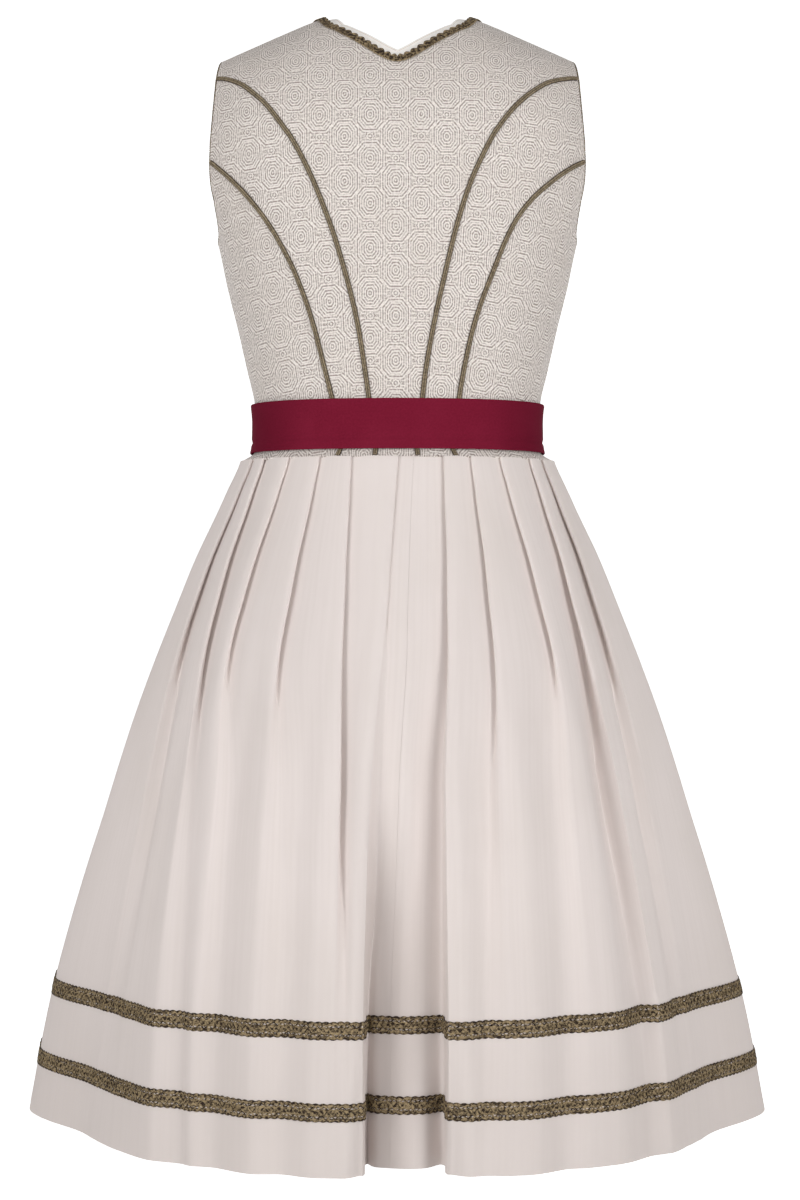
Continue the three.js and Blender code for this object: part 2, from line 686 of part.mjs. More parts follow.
// Strips that follow a path over the bodice: each corner of the section is a distance across
// the cloth and a lift above it. The guides at a path's ends only give its direction there.
function stripRings(side, path, section, guides = 0) {
  const rings = [];
  for (let i = guides; i < path.length - guides; i += 1) {
    rings.push(section.map(({ across, lift }) => (
      lifted(side, beside(side, path, i, across), lift))));
  }
  return rings;
}

// The double cord that covers a back seam: two rounded cords side by side
function seamPiping(name, seam) {
  const half = pipingWidth / 2;
  const section = [
    { across: -half, lift: seamGap },
    { across: half, lift: seamGap },
    { across: half * 0.62, lift: seamGap + pipingHeight },
    { across: 0, lift: seamGap + pipingHeight * 0.72 },
    { across: -half * 0.62, lift: seamGap + pipingHeight },
  ];
  const path = [];
  seam.forEach((place, i) => {
    path.push(place);
    const next = seam[i + 1];
    if (next && place.rise > pipingDenseAbove) {
      path.push({ turn: (place.turn + next.turn) / 2, rise: (place.rise + next.rise) / 2 });
    }
  });
  path[0] = { ...path[0], rise: waistSeam + seamGap };
  const end = path.at(-1);
  const previous = path.at(-2);
  path[path.length - 1] = {
    turn: end.turn + (previous.turn - end.turn) * pipingSetBack,
    rise: end.rise + (previous.rise - end.rise) * pipingSetBack,
  };
  return sweep(name, stripRings(back, path, section), oliveBraid);
}

for (const { handName, innerSeam, outerSeam } of Object.values(hands)) {
  dress.add(seamPiping(`piping_inner_${handName}`, innerSeam));
  dress.add(seamPiping(`piping_outer_${handName}`, outerSeam));
}

// The thin cord round each armhole, just outside the panels' edges
function armholePiping({ hand, handName, edge }) {
  const sides = 6;
  const middle = seamGap / 2 + armholeCordRadius;
  const section = Array.from({ length: sides }, (_, i) => {
    const angle = ((i + 0.5) / sides) * 2 * Math.PI;
    return {
      across: hand * (middle + armholeCordRadius * Math.cos(angle)),
      lift: -bodiceThickness / 2 + armholeCordRadius * Math.sin(angle),
    };
  });
  const joined = (side, first, ...others) => {
    const places = [...first, ...others.flatMap((list) => list.slice(1))];
    const [start, second] = places;
    const [previous, end] = places.slice(-2);
    const overShoulder = { turn: second.turn, rise: 2 * start.rise - second.rise };
    const roundUnderarm = { turn: 2 * end.turn - previous.turn, rise: previous.rise };
    return stripRings(side, [overShoulder, ...places, roundUnderarm], section, 1);
  };
  const behind = joined(back, edge.top, edge.middle, edge.side);
  const before = joined(front, edge.frontTop, edge.frontSide);
  return sweep(`armhole_piping_${handName}`, [...behind, ...before.reverse().slice(1, -1)],
    oliveBraid, true);
}

for (const made of Object.values(hands)) dress.add(armholePiping(made));

// The lace round the neck, from the middle of the front over the back and round again
function neckLace() {
  const section = [
    { across: 0, lift: neckLaceLift },
    { across: 0, lift: neckLaceLift + laceThickness },
    { across: neckLaceWidth, lift: neckLaceLift + laceThickness },
    { across: neckLaceWidth, lift: neckLaceLift },
  ];
  const mirror = (rings) => rings.map((ring) => ring.map(({ x, y, z }) => new THREE.Vector3(-x, y, z)));
  const behind = stripRings(back, wholeBackNeck, section);
  const rightFront = stripRings(front, frontNeckPath, section).slice(0, -1);
  for (const corner of rightFront[0]) corner.x = seamGap / 2;
  const leftFront = mirror(rightFront);
  return sweep('neck_lace', [...leftFront, ...behind, ...rightFront.reverse()], oliveLace);
}
dress.add(neckLace());

// The cream tape inside the back neck, which stands above the lace
function neckFacing() {
  const count = wholeBackNeck.length - 1;
  const outside = -bodiceThickness - facingClearance;
  const rings = wholeBackNeck.map((_, i) => {
    const share = (Math.abs(i / count - 0.5) * 2) ** facingRise.fullness;
    const top = facingRise.middle + (facingRise.shoulder - facingRise.middle) * share;
    return [neckEdgeUnderLace, (neckEdgeUnderLace + top) / 2, top].map((across) => (
      beside(back, wholeBackNeck, i, across)));
  });
  const outer = rings.map((ring) => ring.map((place) => lifted(back, place, outside)));
  const inner = rings.map((ring) => ring.map((place) => lifted(back, place, outside - facingThickness)));
  return wall('neck_facing', outer, inner, creamTape);
}
dress.add(neckFacing());

// The belt: a band all round the waist, with one end lapped over it in front
function aroundWaist(count) {
  const turns = Array.from({ length: count + 1 }, (_, i) => -90 + (180 * i) / count);
  return [
    ...turns.map((turn) => ({ side: back, turn })),
    ...turns.slice(1, -1).reverse().map((turn) => ({ side: front, turn })),
  ];
}

function band(name, stations, heights, lift, ring) {
  const grid = (out) => heights.map((rise) => stations.map(({ side, turn }) => (
    pushedOut(side, { turn, rise }, out))));
  return wall(name, grid(lift + beltThickness), grid(lift), burgundy, { ring, evenSplit: true });
}

const beltStations = aroundWaist(28);
const beltHeights = [beltBottom, beltTop];
dress.add(band('belt', beltStations, beltHeights, beltOverBodice, true));
const lapStations = beltStations.filter(({ side, turn }) => (
  side === front && turn > lapStart && turn < lapEnd));
const lapHeights = [beltBottom + lapInset, beltTop - lapInset];
const lapLift = beltOverBodice + beltThickness + seamGap;
dress.add(band('belt_lapped_end', lapStations, lapHeights, lapLift, false));

// The skirt's ring over the crests, and its outward direction
const skirtHalf = smoothTable(skirt, 'z', (row) => row.half);
const skirtBack = smoothTable(skirt, 'z', (row) => row.back);
const skirtFront = smoothTable(skirt, 'z', (row) => row.front);
const skirtPower = smoothTable(skirt, 'z', (row) => row.power);
const skirtFlat = smoothTable(skirt, 'z', (row) => row.flat);

function skirtRing(bearing, z) {
  const angle = THREE.MathUtils.degToRad(bearing);
  const power = 2 / skirtPower(z);
  const cosine = Math.cos(angle);
  const reach = cosine > 0 ? skirtBack(z) : skirtFront(z);
  return new THREE.Vector3(
    skirtHalf(z) * signedPower(Math.sin(angle), power), -reach * signedPower(cosine, power), z);
}

function skirtOutward(bearing, z) {
  const step = 0.5;
  const along = skirtRing(bearing + step, z).sub(skirtRing(bearing - step, z));
  return new THREE.Vector3(along.y, -along.x, 0).normalize();
}

function degreesPerMillimetre(bearing, z) {
  const step = 0.5;
  return (2 * step) / skirtRing(bearing + step, z).distanceTo(skirtRing(bearing - step, z));
}

// Each pleat at a height: its crest's bearing, its depth, and which way its valley lies
const pleatTables = pleats.map(({ name, bearing, depth }) => {
  const rows = pleatHeights.map((z, i) => ({ z, bearing: bearing[i], depth: depth[i] }));
  const middle = bearing[1] > 90 ? 180 : skirtMiddle;
  return {
    bearingAt: smoothTable(rows, 'z', (row) => row.bearing),
    depthAt: smoothTable(rows, 'z', (row) => row.depth),
    towards: bearing[1] > middle ? -1 : 1,
    hemBearing: bearing.at(-1),
    seam: skirtPanels.find(({ after }) => after === name),
  };
});

// The flat between one pleat and the next, as shares of its width. The same shares at every
// height keep the columns in line, and a flat with a seam has one of them on the seam.
pleatTables.forEach((pleat, i) => {
  const next = pleatTables[(i + 1) % pleatTables.length];
  const span = (next.hemBearing - pleat.hemBearing + 360) % 360;
  const count = Math.max(1, Math.ceil(span / columnSpacing) - 1);
  const shares = Array.from({ length: count }, (_, k) => (k + 1) / (count + 1));
  if (pleat.seam) {
    const nearest = shares.reduce((best, share, k) => (
      Math.abs(share - pleat.seam.share) < Math.abs(shares[best] - pleat.seam.share) ? k : best), 0);
    shares[nearest] = pleat.seam.share;
  }
  pleat.flatShares = shares;
});

// The columns round the skirt at one height, in the order of their bearings
function skirtColumns(z) {
  const folds = pleatTables.map(({ bearingAt, depthAt, towards }) => {
    const bearing = bearingAt(z);
    const depth = depthAt(z);
    const step = Math.max(depth / pleatSteepness, narrowestStep) * degreesPerMillimetre(bearing, z);
    const crest = { bearing, drop: 0 };
    const valley = { bearing: bearing + towards * step, drop: depth };
    return towards > 0 ? [crest, valley] : [valley, crest];
  });
  return pleatTables.flatMap(({ flatShares, seam }, i) => {
    const leaving = folds[i][1];
    const arriving = folds[(i + 1) % folds.length][0];
    const turnOver = i === folds.length - 1 ? 360 : 0;
    const span = arriving.bearing + turnOver - leaving.bearing;
    const flat = flatShares.map((share) => {
      const eased = leaving.drop > arriving.drop ? 1 - (1 - share) ** pleatRoll : share ** pleatRoll;
      return {
        bearing: leaving.bearing + span * share,
        drop: leaving.drop + (arriving.drop - leaving.drop) * eased,
        panel: seam && share === seam.share ? seam.name : undefined,
      };
    });
    return [...folds[i], ...flat];
  });
}

function skirtPoint({ bearing, drop }, z) {
  const fromMiddle = Math.min(Math.abs(bearing), Math.abs(bearing - 180), Math.abs(bearing - 360));
  const drawnIn = skirtFlat(z) * Math.exp(-(((fromMiddle - flatBearing) / flatSpread) ** 2));
  return skirtRing(bearing, z).addScaledVector(skirtOutward(bearing, z), -drop - drawnIn);
}

const skirtGrid = skirtRows.map((z) => skirtColumns(z));
const skirtOutside = skirtGrid.map((columns, row) => (
  columns.map((column) => skirtPoint(column, skirtRows[row]))));
const columnCount = skirtGrid[0].length;

// A ring moved out by a distance, square to the cloth on both sides of each of its corners
function movedOut(ring, distance) {
  const outward = (from, to) => new THREE.Vector3(to.y - from.y, from.x - to.x, 0).normalize();
  return ring.map((point, k) => {
    const arriving = outward(ring[(k - 1 + ring.length) % ring.length], point);
    const leaving = outward(point, ring[(k + 1) % ring.length]);
    const mitre = Math.max(1 + arriving.dot(leaving), sharpestMitre);
    return point.clone().addScaledVector(arriving.add(leaving), distance / mitre);
  });
}

const skirtInside = skirtOutside.map((ring) => movedOut(ring, -skirtThickness));

function skirtPanel(name) {
  const start = skirtGrid[0].findIndex((column) => column.panel === name);
  let end = start + 1;
  while (!skirtGrid[0][end % columnCount].panel) end += 1;
  const cutFrom = (rings) => rings.map((ring) => (
    Array.from({ length: end - start + 1 }, (_, k) => ring[(start + k) % columnCount].clone())));
  const outer = cutFrom(skirtOutside);
  const inner = cutFrom(skirtInside);
  drawIn(outer, inner);
  return wall(name, outer, inner, cotton, { evenSplit: true });
}
for (const { name } of skirtPanels) dress.add(skirtPanel(name));

// The lace bands: rings sewn on the skirt, made from its points and moved out
function laceBand(name, edges) {
  const rings = edges.map((z) => skirtOutside[skirtRows.indexOf(z)]);
  const grid = (lift) => rings.map((ring) => movedOut(ring, lift));
  return wall(name, grid(seamGap + laceThickness), grid(seamGap), oliveLace,
    { ring: true, evenSplit: true });
}
dress.add(laceBand('lace_upper', laceEdges.slice(0, 2)));
dress.add(laceBand('lace_lower', laceEdges.slice(2)));

export default dress;
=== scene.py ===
# A sleeveless dirndl from behind: brocade bodice with piped seams, band belt, pleated skirt
import bmesh
import bpy
import math
import numpy as np
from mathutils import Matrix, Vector


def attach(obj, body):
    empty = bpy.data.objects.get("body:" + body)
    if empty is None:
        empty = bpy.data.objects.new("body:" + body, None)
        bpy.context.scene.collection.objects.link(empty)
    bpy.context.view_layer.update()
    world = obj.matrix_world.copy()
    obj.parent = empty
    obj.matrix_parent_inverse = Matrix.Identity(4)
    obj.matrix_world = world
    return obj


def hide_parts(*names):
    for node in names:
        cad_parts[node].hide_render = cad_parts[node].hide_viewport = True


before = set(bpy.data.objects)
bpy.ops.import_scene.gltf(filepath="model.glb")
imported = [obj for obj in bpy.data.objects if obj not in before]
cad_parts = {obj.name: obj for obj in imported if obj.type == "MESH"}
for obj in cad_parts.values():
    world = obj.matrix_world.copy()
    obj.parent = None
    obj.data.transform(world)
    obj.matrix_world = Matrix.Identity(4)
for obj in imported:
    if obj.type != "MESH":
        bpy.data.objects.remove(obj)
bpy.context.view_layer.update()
millimetre = 0.001
print("frame loaded")

# Shader and geometry node helpers

def wire(tree, socket, value):
    if isinstance(value, bpy.types.NodeSocket):
        tree.links.new(value, socket)
    else:
        socket.default_value = value

def calculate(tree, operation, *values):
    node = tree.nodes.new("ShaderNodeMath")
    node.operation = operation
    for socket, value in zip(node.inputs, values):
        wire(tree, socket, value)
    return node.outputs[0]

def ramp(tree, value, fromLow, fromHigh, toLow=0.0, toHigh=1.0):
    node = tree.nodes.new("ShaderNodeMapRange")
    node.interpolation_type = "SMOOTHSTEP"
    wire(tree, node.inputs["Value"], value)
    limits = {"From Min": fromLow, "From Max": fromHigh, "To Min": toLow, "To Max": toHigh}
    for name, number in limits.items():
        node.inputs[name].default_value = number
    return node.outputs["Result"]

def mixColour(tree, share, first, second):
    node = tree.nodes.new("ShaderNodeMix")
    node.data_type = "RGBA"
    wire(tree, node.inputs[0], share)
    for socket, colour in ((node.inputs[6], first), (node.inputs[7], second)):
        wire(tree, socket, colour if isinstance(colour, bpy.types.NodeSocket) else (*colour, 1))
    return node.outputs[2]

def fromHex(text):
    parts = [int(text[i:i + 2], 16) / 255 for i in (0, 2, 4)]
    return tuple(c / 12.92 if c <= 0.04045 else ((c + 0.055) / 1.055) ** 2.4 for c in parts)

def clothMaterial(name, roughness, sheen, sheenRoughness=0.4):
    material = bpy.data.materials.new(name)
    material.use_nodes = True
    tree = material.node_tree
    shader = tree.nodes["Principled BSDF"]
    shader.inputs["Roughness"].default_value = roughness
    shader.inputs["Sheen Weight"].default_value = sheen
    shader.inputs["Sheen Roughness"].default_value = sheenRoughness
    shader.inputs["Specular IOR Level"].default_value = 0.25
    uv = tree.nodes.new("ShaderNodeUVMap")
    uv.uv_map = "cloth"
    split = tree.nodes.new("ShaderNodeSeparateXYZ")
    tree.links.new(uv.outputs["UV"], split.inputs[0])
    across = calculate(tree, "MULTIPLY", split.outputs[0], 1 / millimetre)
    upward = calculate(tree, "MULTIPLY", split.outputs[1], 1 / millimetre)
    return material, tree, shader, uv.outputs["UV"], across, upward

def noise(tree, vector, scale, detail=3.0, stretch=None):
    if stretch:
        mapping = tree.nodes.new("ShaderNodeMapping")
        mapping.inputs["Scale"].default_value = stretch
        tree.links.new(vector, mapping.inputs["Vector"])
        vector = mapping.outputs["Vector"]
    node = tree.nodes.new("ShaderNodeTexNoise")
    node.inputs["Scale"].default_value = scale
    node.inputs["Detail"].default_value = detail
    tree.links.new(vector, node.inputs["Vector"])
    return node.outputs["Fac"]

def objectPlace(tree):
    place = tree.nodes.new("ShaderNodeTexCoord")
    parts = tree.nodes.new("ShaderNodeSeparateXYZ")
    tree.links.new(place.outputs["Object"], parts.inputs[0])
    return parts.outputs

def addBump(tree, shader, height, strength, distance):
    bump = tree.nodes.new("ShaderNodeBump")
    bump.inputs["Strength"].default_value = strength
    bump.inputs["Distance"].default_value = distance
    wire(tree, bump.inputs["Height"], height)
    tree.links.new(bump.outputs["Normal"], shader.inputs["Normal"])

def wave(tree, value, period, phase=0.0):
    turned = calculate(tree, "MULTIPLY_ADD", value, 2 * math.pi / period, phase)
    return calculate(tree, "SINE", turned)

# Camera and studio: the dress is seen from 2.4 m away, level with the upper skirt
viewer = {"place": (0.0025, -2.4, -0.58), "lens": 72, "sensor": 36}
cameraData = bpy.data.cameras.new("Camera")
cameraData.lens = viewer["lens"]
cameraData.sensor_width = viewer["sensor"]
camera = bpy.data.objects.new("Camera", cameraData)
camera.location = viewer["place"]
camera.rotation_euler = (math.radians(90), 0, 0)
bpy.context.scene.collection.objects.link(camera)
bpy.context.scene.camera = camera
bpy.context.scene.view_settings.view_transform = "Standard"

studio = {
    "floor": -1.8, "white": (0.94, 0.94, 0.94), "glow": 0.72, "glowFrom": (1.0, 2.2), "world": 0.2,
    "sweep": {"wide": 16, "front": -7, "back": 4.5, "bend": 2.5, "top": 6, "steps": 12},
    "aim": (0, 0, -0.55),
    "lamps": [
        {"name": "rightLamp", "place": (2.2, -2.25, -0.2), "size": 1.4, "power": 45},
        {"name": "leftLamp", "place": (-2.2, -2.25, -0.2), "size": 1.4, "power": 43},
        {"name": "topLamp", "place": (0, -2.0, 1.5), "size": 1.4, "power": 13},
    ],
}

def studioPaper():
    material = bpy.data.materials.new("studioPaper")
    material.use_nodes = True
    tree = material.node_tree
    shader = tree.nodes["Principled BSDF"]
    shader.inputs["Base Color"].default_value = (*studio["white"], 1)
    shader.inputs["Roughness"].default_value = 0.9
    shader.inputs["Emission Color"].default_value = (1, 1, 1, 1)
    # Only the paper behind the dress glows, so it stays white and hardly lights the side in view
    glow = ramp(tree, objectPlace(tree)[1], *studio["glowFrom"], 0.0, studio["glow"])
    tree.links.new(glow, shader.inputs["Emission Strength"])
    return material

def sweepProfile():
    sweep, low = studio["sweep"], studio["floor"]
    profile = [(sweep["front"], low)]
    for step in range(sweep["steps"] + 1):
        angle = math.radians(90 * step / sweep["steps"])
        profile.append((sweep["back"] + sweep["bend"] * math.sin(angle),
                        low + sweep["bend"] * (1 - math.cos(angle))))
    return profile + [(sweep["back"] + sweep["bend"], sweep["top"])]

def makeStudio():
    world = bpy.data.worlds.new("Studio")
    world.use_nodes = True
    world.node_tree.nodes["Background"].inputs["Color"].default_value = (1, 1, 1, 1)
    world.node_tree.nodes["Background"].inputs["Strength"].default_value = studio["world"]
    bpy.context.scene.world = world
    for lamp in studio["lamps"]:
        data = bpy.data.lights.new(lamp["name"], "AREA")
        data.size = lamp["size"]
        data.energy = lamp["power"]
        light = bpy.data.objects.new(lamp["name"], data)
        light.location = lamp["place"]
        aim = Vector(studio["aim"]) - Vector(lamp["place"])
        light.rotation_euler = aim.to_track_quat("-Z", "Y").to_euler()
        bpy.context.scene.collection.objects.link(light)
    wide = studio["sweep"]["wide"] / 2
    profile = sweepProfile()
    corners = [(x, y, z) for y, z in profile for x in (-wide, wide)]
    faces = [(2 * i, 2 * i + 1, 2 * i + 3, 2 * i + 2) for i in range(len(profile) - 1)]
    paper = bpy.data.meshes.new("backdrop")
    paper.from_pydata(corners, [], faces)
    paper.materials.append(studioPaper())
    paper.shade_smooth()
    backdrop = bpy.data.objects.new("backdrop", paper)
    bpy.context.scene.collection.objects.link(backdrop)

makeStudio()
print("studio made")

# Brocade: octagonal medallions in staggered columns, small stars between them, light frames
brocadeRepeat = {
    "across": 49.0, "upward": 42.7, "medallion": (9.4, 12.4, 1.45), "frame": (11.9, 14.6, 1.5),
    "star": (5.9, 4.3), "ringPitch": 2.2, "threadPitch": 1.25,
    "dark": "998d86", "mid": "d2c9c3", "light": "efe8e2",
}

def octagon(tree, x, y, halfWidth, halfHeight, corner):
    a = calculate(tree, "DIVIDE", x, halfWidth)
    b = calculate(tree, "DIVIDE", y, halfHeight)
    diagonal = calculate(tree, "DIVIDE", calculate(tree, "ADD", a, b), corner)
    return calculate(tree, "MAXIMUM", calculate(tree, "MAXIMUM", a, b), diagonal)

def folded(tree, value, period):
    near = calculate(tree, "ROUND", calculate(tree, "DIVIDE", value, period))
    return calculate(tree, "ABSOLUTE", calculate(tree, "MULTIPLY_ADD", near, -period, value))

def mixValue(tree, share, first, second):
    node = tree.nodes.new("ShaderNodeMix")
    node.data_type = "FLOAT"
    for socket, value in ((node.inputs[0], share), (node.inputs[2], first), (node.inputs[3], second)):
        wire(tree, socket, value)
    return node.outputs[0]

def makeBrocade():
    material, tree, shader, uv, across, upward = clothMaterial("brocade", 0.55, 0.03)
    size = brocadeRepeat
    x = folded(tree, across, size["across"])
    y = folded(tree, upward, size["upward"])
    farX = calculate(tree, "SUBTRACT", size["across"] / 2, x)
    farY = calculate(tree, "SUBTRACT", size["upward"] / 2, y)

    def nearest(shape, *sizes):
        return calculate(tree, "MINIMUM", shape(tree, x, y, *sizes), shape(tree, farX, farY, *sizes))

    def between(operation):
        return calculate(tree, "MINIMUM", calculate(tree, operation, x, farY),
                         calculate(tree, operation, farX, y))

    medallion = nearest(octagon, *size["medallion"])
    border = nearest(octagon, *size["frame"])
    diamond, square = between("ADD"), between("MAXIMUM")
    star = calculate(tree, "MINIMUM", calculate(tree, "DIVIDE", diamond, size["star"][0]),
                     calculate(tree, "DIVIDE", square, size["star"][1]))
    # Every thread crossing is a dot, so each figure is broken into steps
    dots = calculate(tree, "MULTIPLY", wave(tree, across, size["threadPitch"]),
                     wave(tree, upward, size["threadPitch"]))
    ringWave = wave(tree, medallion, size["ringPitch"] / size["medallion"][0], 1.1)
    rings = ramp(tree, ringWave, -0.3, 0.8, 0.2, 0.98)
    ringed = calculate(tree, "MULTIPLY_ADD", dots, 0.2, rings)
    echoes = ramp(tree, wave(tree, border, 0.19, 2.2), -0.4, 0.9, 0.28, 0.78)
    ground = calculate(tree, "MULTIPLY_ADD", dots, 0.22, echoes)
    starRings = ramp(tree, wave(tree, star, 0.5, 0.6), -0.3, 0.8, 0.2, 0.95)
    starred = calculate(tree, "MULTIPLY_ADD", dots, 0.18, starRings)
    offBand = calculate(tree, "ABSOLUTE", calculate(tree, "SUBTRACT", border, 1.03))
    band = ramp(tree, offBand, 0.125, 0.16, 1.0, 0.0)
    split = ramp(tree, offBand, 0.03, 0.065, 0.1, 0.82)
    value = mixValue(tree, ramp(tree, star, 1.0, 1.12, 1.0, 0.0), ground, starred)
    value = mixValue(tree, ramp(tree, medallion, 1.0, 1.05, 1.0, 0.0), value, ringed)
    value = mixValue(tree, band, value, split)
    worn = calculate(tree, "MULTIPLY_ADD", noise(tree, uv, 480, 2.0), 1.9, -0.95)
    value = calculate(tree, "ADD", value, worn)
    lower = mixColour(tree, ramp(tree, value, 0.0, 0.5), fromHex(size["dark"]), fromHex(size["mid"]))
    whole = mixColour(tree, ramp(tree, value, 0.45, 1.0), lower, fromHex(size["light"]))
    tint = ramp(tree, noise(tree, uv, 16, 4.0), 0.4, 0.8, 0.0, 0.16)
    tree.links.new(mixColour(tree, tint, whole, fromHex("cbbfb4")), shader.inputs["Base Color"])
    tree.links.new(calculate(tree, "MULTIPLY_ADD", value, -0.2, 0.66), shader.inputs["Roughness"])
    addBump(tree, shader, calculate(tree, "MULTIPLY_ADD", dots, 0.15, value), 0.4, 0.0004)
    return material

# Cotton colours; hem is the painted shade the cloth takes on towards the hem
cottonLook = {
    "light": "e4dad6", "slub": "d8cdc8", "cloud": "d7cdc6", "hem": "cbc1bc", "shade": "b2a7a2",
    "thread": 0.7, "hemShadeFrom": -800, "hemShadeTo": -1060,
}
# Cloth inside the box pleat lies in shade: these are metres on the dress
boxShade = {"middle": -0.009, "inner": 0.008, "outer": 0.032, "top": -0.74, "low": -0.88, "behind": -0.1}

def makeCotton():
    material, tree, shader, uv, across, upward = clothMaterial("cotton", 0.85, 0.03, 0.5)
    look, box = cottonLook, boxShade
    weave = calculate(tree, "MULTIPLY", wave(tree, across, look["thread"]),
                      wave(tree, upward, look["thread"]))
    slubs = noise(tree, uv, 90, 3.0, (3.0, 0.08, 1.0))
    cloud = noise(tree, uv, 7, 4.0)
    slubbed = ramp(tree, slubs, 0.35, 0.7, 0.0, 0.22)
    streaked = mixColour(tree, slubbed, fromHex(look["light"]), fromHex(look["slub"]))
    clouded = mixColour(tree, ramp(tree, cloud, 0.35, 0.75, 0.0, 0.3), streaked, fromHex(look["cloud"]))
    # Painted shade: the cloth darkens towards the hem, where less light reaches it
    hemShade = ramp(tree, upward, look["hemShadeFrom"], look["hemShadeTo"], 0.0, 0.5)
    hemShaded = mixColour(tree, hemShade, clouded, fromHex(look["hem"]))
    x, y, z = objectPlace(tree)
    offMiddle = calculate(tree, "ABSOLUTE", calculate(tree, "SUBTRACT", x, box["middle"]))
    inside = calculate(tree, "MULTIPLY", ramp(tree, offMiddle, box["inner"], box["outer"], 0.5, 0.0),
                       ramp(tree, z, box["top"], box["low"]))
    inside = calculate(tree, "MULTIPLY", inside, ramp(tree, y, box["behind"], 0.0, 1.0, 0.0))
    shaded = mixColour(tree, inside, hemShaded, fromHex(look["shade"]))
    tree.links.new(shaded, shader.inputs["Base Color"])
    height = calculate(tree, "MULTIPLY_ADD", slubs, 0.3, calculate(tree, "MULTIPLY", weave, 0.3))
    addBump(tree, shader, height, 0.15, 0.0004)
    return material

def makeThread(name, dark, light, mottling):
    material, tree, shader, *_ = clothMaterial(name, 0.75, 0.05)
    place = tree.nodes.new("ShaderNodeTexCoord")
    tone = tree.nodes.new("ShaderNodeAttribute")
    tone.attribute_name = "tone"
    spots = ramp(tree, noise(tree, place.outputs["Object"], 420, 3.0), 0.3, 0.7, -mottling, mottling)
    share = calculate(tree, "ADD", tone.outputs["Fac"], spots)
    tree.links.new(mixColour(tree, share, fromHex(dark), fromHex(light)), shader.inputs["Base Color"])
    addBump(tree, shader, noise(tree, place.outputs["Object"], 1500, 2.0), 0.5, 0.0003)
    return material

# Belt colours; side is the painted shade towards the belt's sides
beltLook = {"light": "781a31", "dark": "651327", "cloud": "812138", "side": "530e20", "twill": 1.1,
            "sideFrom": 0.08, "sideTo": 0.14}

def makeBeltCloth():
    material, tree, shader, uv, across, upward = clothMaterial("beltCloth", 0.9, 0.0)
    shader.inputs["Specular IOR Level"].default_value = 0.04
    look = beltLook
    twill = wave(tree, calculate(tree, "ADD", across, upward), look["twill"])
    fuzz = noise(tree, uv, 500, 3.0)
    cloud = noise(tree, uv, 24, 3.0)
    worn = ramp(tree, fuzz, 0.3, 0.75, 0.0, 0.6)
    mottled = mixColour(tree, worn, fromHex(look["light"]), fromHex(look["dark"]))
    clouded = mixColour(tree, ramp(tree, cloud, 0.35, 0.75, 0.0, 0.35), mottled, fromHex(look["cloud"]))
    # Painted shade: the belt darkens towards its sides, where it turns away from the lamps
    fromMiddle = calculate(tree, "ABSOLUTE", objectPlace(tree)[0])
    sideShade = ramp(tree, fromMiddle, look["sideFrom"], look["sideTo"], 0.0, 0.45)
    sides = mixColour(tree, sideShade, clouded, fromHex(look["side"]))
    tree.links.new(sides, shader.inputs["Base Color"])
    height = calculate(tree, "MULTIPLY_ADD", fuzz, 0.7, calculate(tree, "MULTIPLY", twill, 0.3))
    addBump(tree, shader, height, 0.35, 0.0004)
    return material

# The cream tape that stands inside the back neck; its seam is this far below its top edge
tape = {"rows": 12, "inside": 2.7, "thickness": 0.9, "middle": 20, "shoulder": 22, "fullness": 0.6,
        "inset": 2, "taper": 9, "taperPower": 10, "bend": 240, "seam": 2.6, "paintedGlow": 0.12,
        "light": "fdf8f2", "rib": "f3ebe3", "stitch": "b5aea6"}

def makeTape():
    material, tree, shader, uv, across, upward = clothMaterial("creamTape", 0.7, 0.2)
    ribs = wave(tree, across, 1.0)
    ribbing = ramp(tree, ribs, -1.0, 1.0, 0.0, 0.5)
    ribbed = mixColour(tree, ribbing, fromHex(tape["light"]), fromHex(tape["rib"]))
    offSeam = calculate(tree, "ABSOLUTE", calculate(tree, "ADD", upward, tape["seam"]))
    seam = ramp(tree, offSeam, 0.2, 0.6, 0.55, 0.0)
    taped = mixColour(tree, seam, ribbed, fromHex(tape["stitch"]))
    tree.links.new(taped, shader.inputs["Base Color"])
    # Painted light: the tape glows a little, so it looks brighter than the lamps alone light it
    tree.links.new(taped, shader.inputs["Emission Color"])
    shader.inputs["Emission Strength"].default_value = tape["paintedGlow"]
    addBump(tree, shader, calculate(tree, "MULTIPLY", ribs, wave(tree, upward, 1.2)), 0.3, 0.0003)
    return material

materials = {
    "brocade": makeBrocade(),
    "cotton": makeCotton(),
    "braid": makeThread("oliveBraid", "3c3026", "a5957a", 0.25),
    "lace": makeThread("oliveLace", "2b1e16", "a4906e", 0.65),
    "belt": makeBeltCloth(),
    "tape": makeTape(),
}
print("materials made")

# The bodice's form, in millimetres, as the solid model has it

def smoothTable(at, values):
    order = np.argsort(at)
    at, values = np.array(at, float)[order], np.array(values, float)[order]
    slopes = np.diff(values) / np.diff(at)
    tangents = np.zeros(len(at))
    tangents[0], tangents[-1] = slopes[0], slopes[-1]
    for i in range(1, len(at) - 1):
        product = slopes[i - 1] * slopes[i]
        tangents[i] = 0 if product <= 0 else 2 * product / (slopes[i - 1] + slopes[i])

    def valueAt(x):
        t = np.clip(x, at[0], at[-1])
        i = np.clip(np.searchsorted(at, t, side="right") - 1, 0, len(at) - 2)
        width = at[i + 1] - at[i]
        u = (t - at[i]) / width
        stay = values[i] * (1 + 2 * u) * (1 - u) ** 2 + values[i + 1] * u * u * (3 - 2 * u)
        return stay + width * (tangents[i] * u * (1 - u) ** 2 - tangents[i + 1] * u * u * (1 - u))
    return valueAt

def signedPower(value, exponent):
    return np.sign(value) * np.abs(value) ** exponent

# A soft swelling or hollow round a spot, as high as the spot says
def swelling(spot, x, z):
    away = ((x - spot["x"]) / spot["wide"]) ** 2 + ((z - spot["z"]) / spot["tall"]) ** 2
    return spot["out"] * np.exp(-away)

def lengthsAlong(points):
    return np.concatenate([[0], np.cumsum(np.linalg.norm(np.diff(points, axis=0), axis=1))])

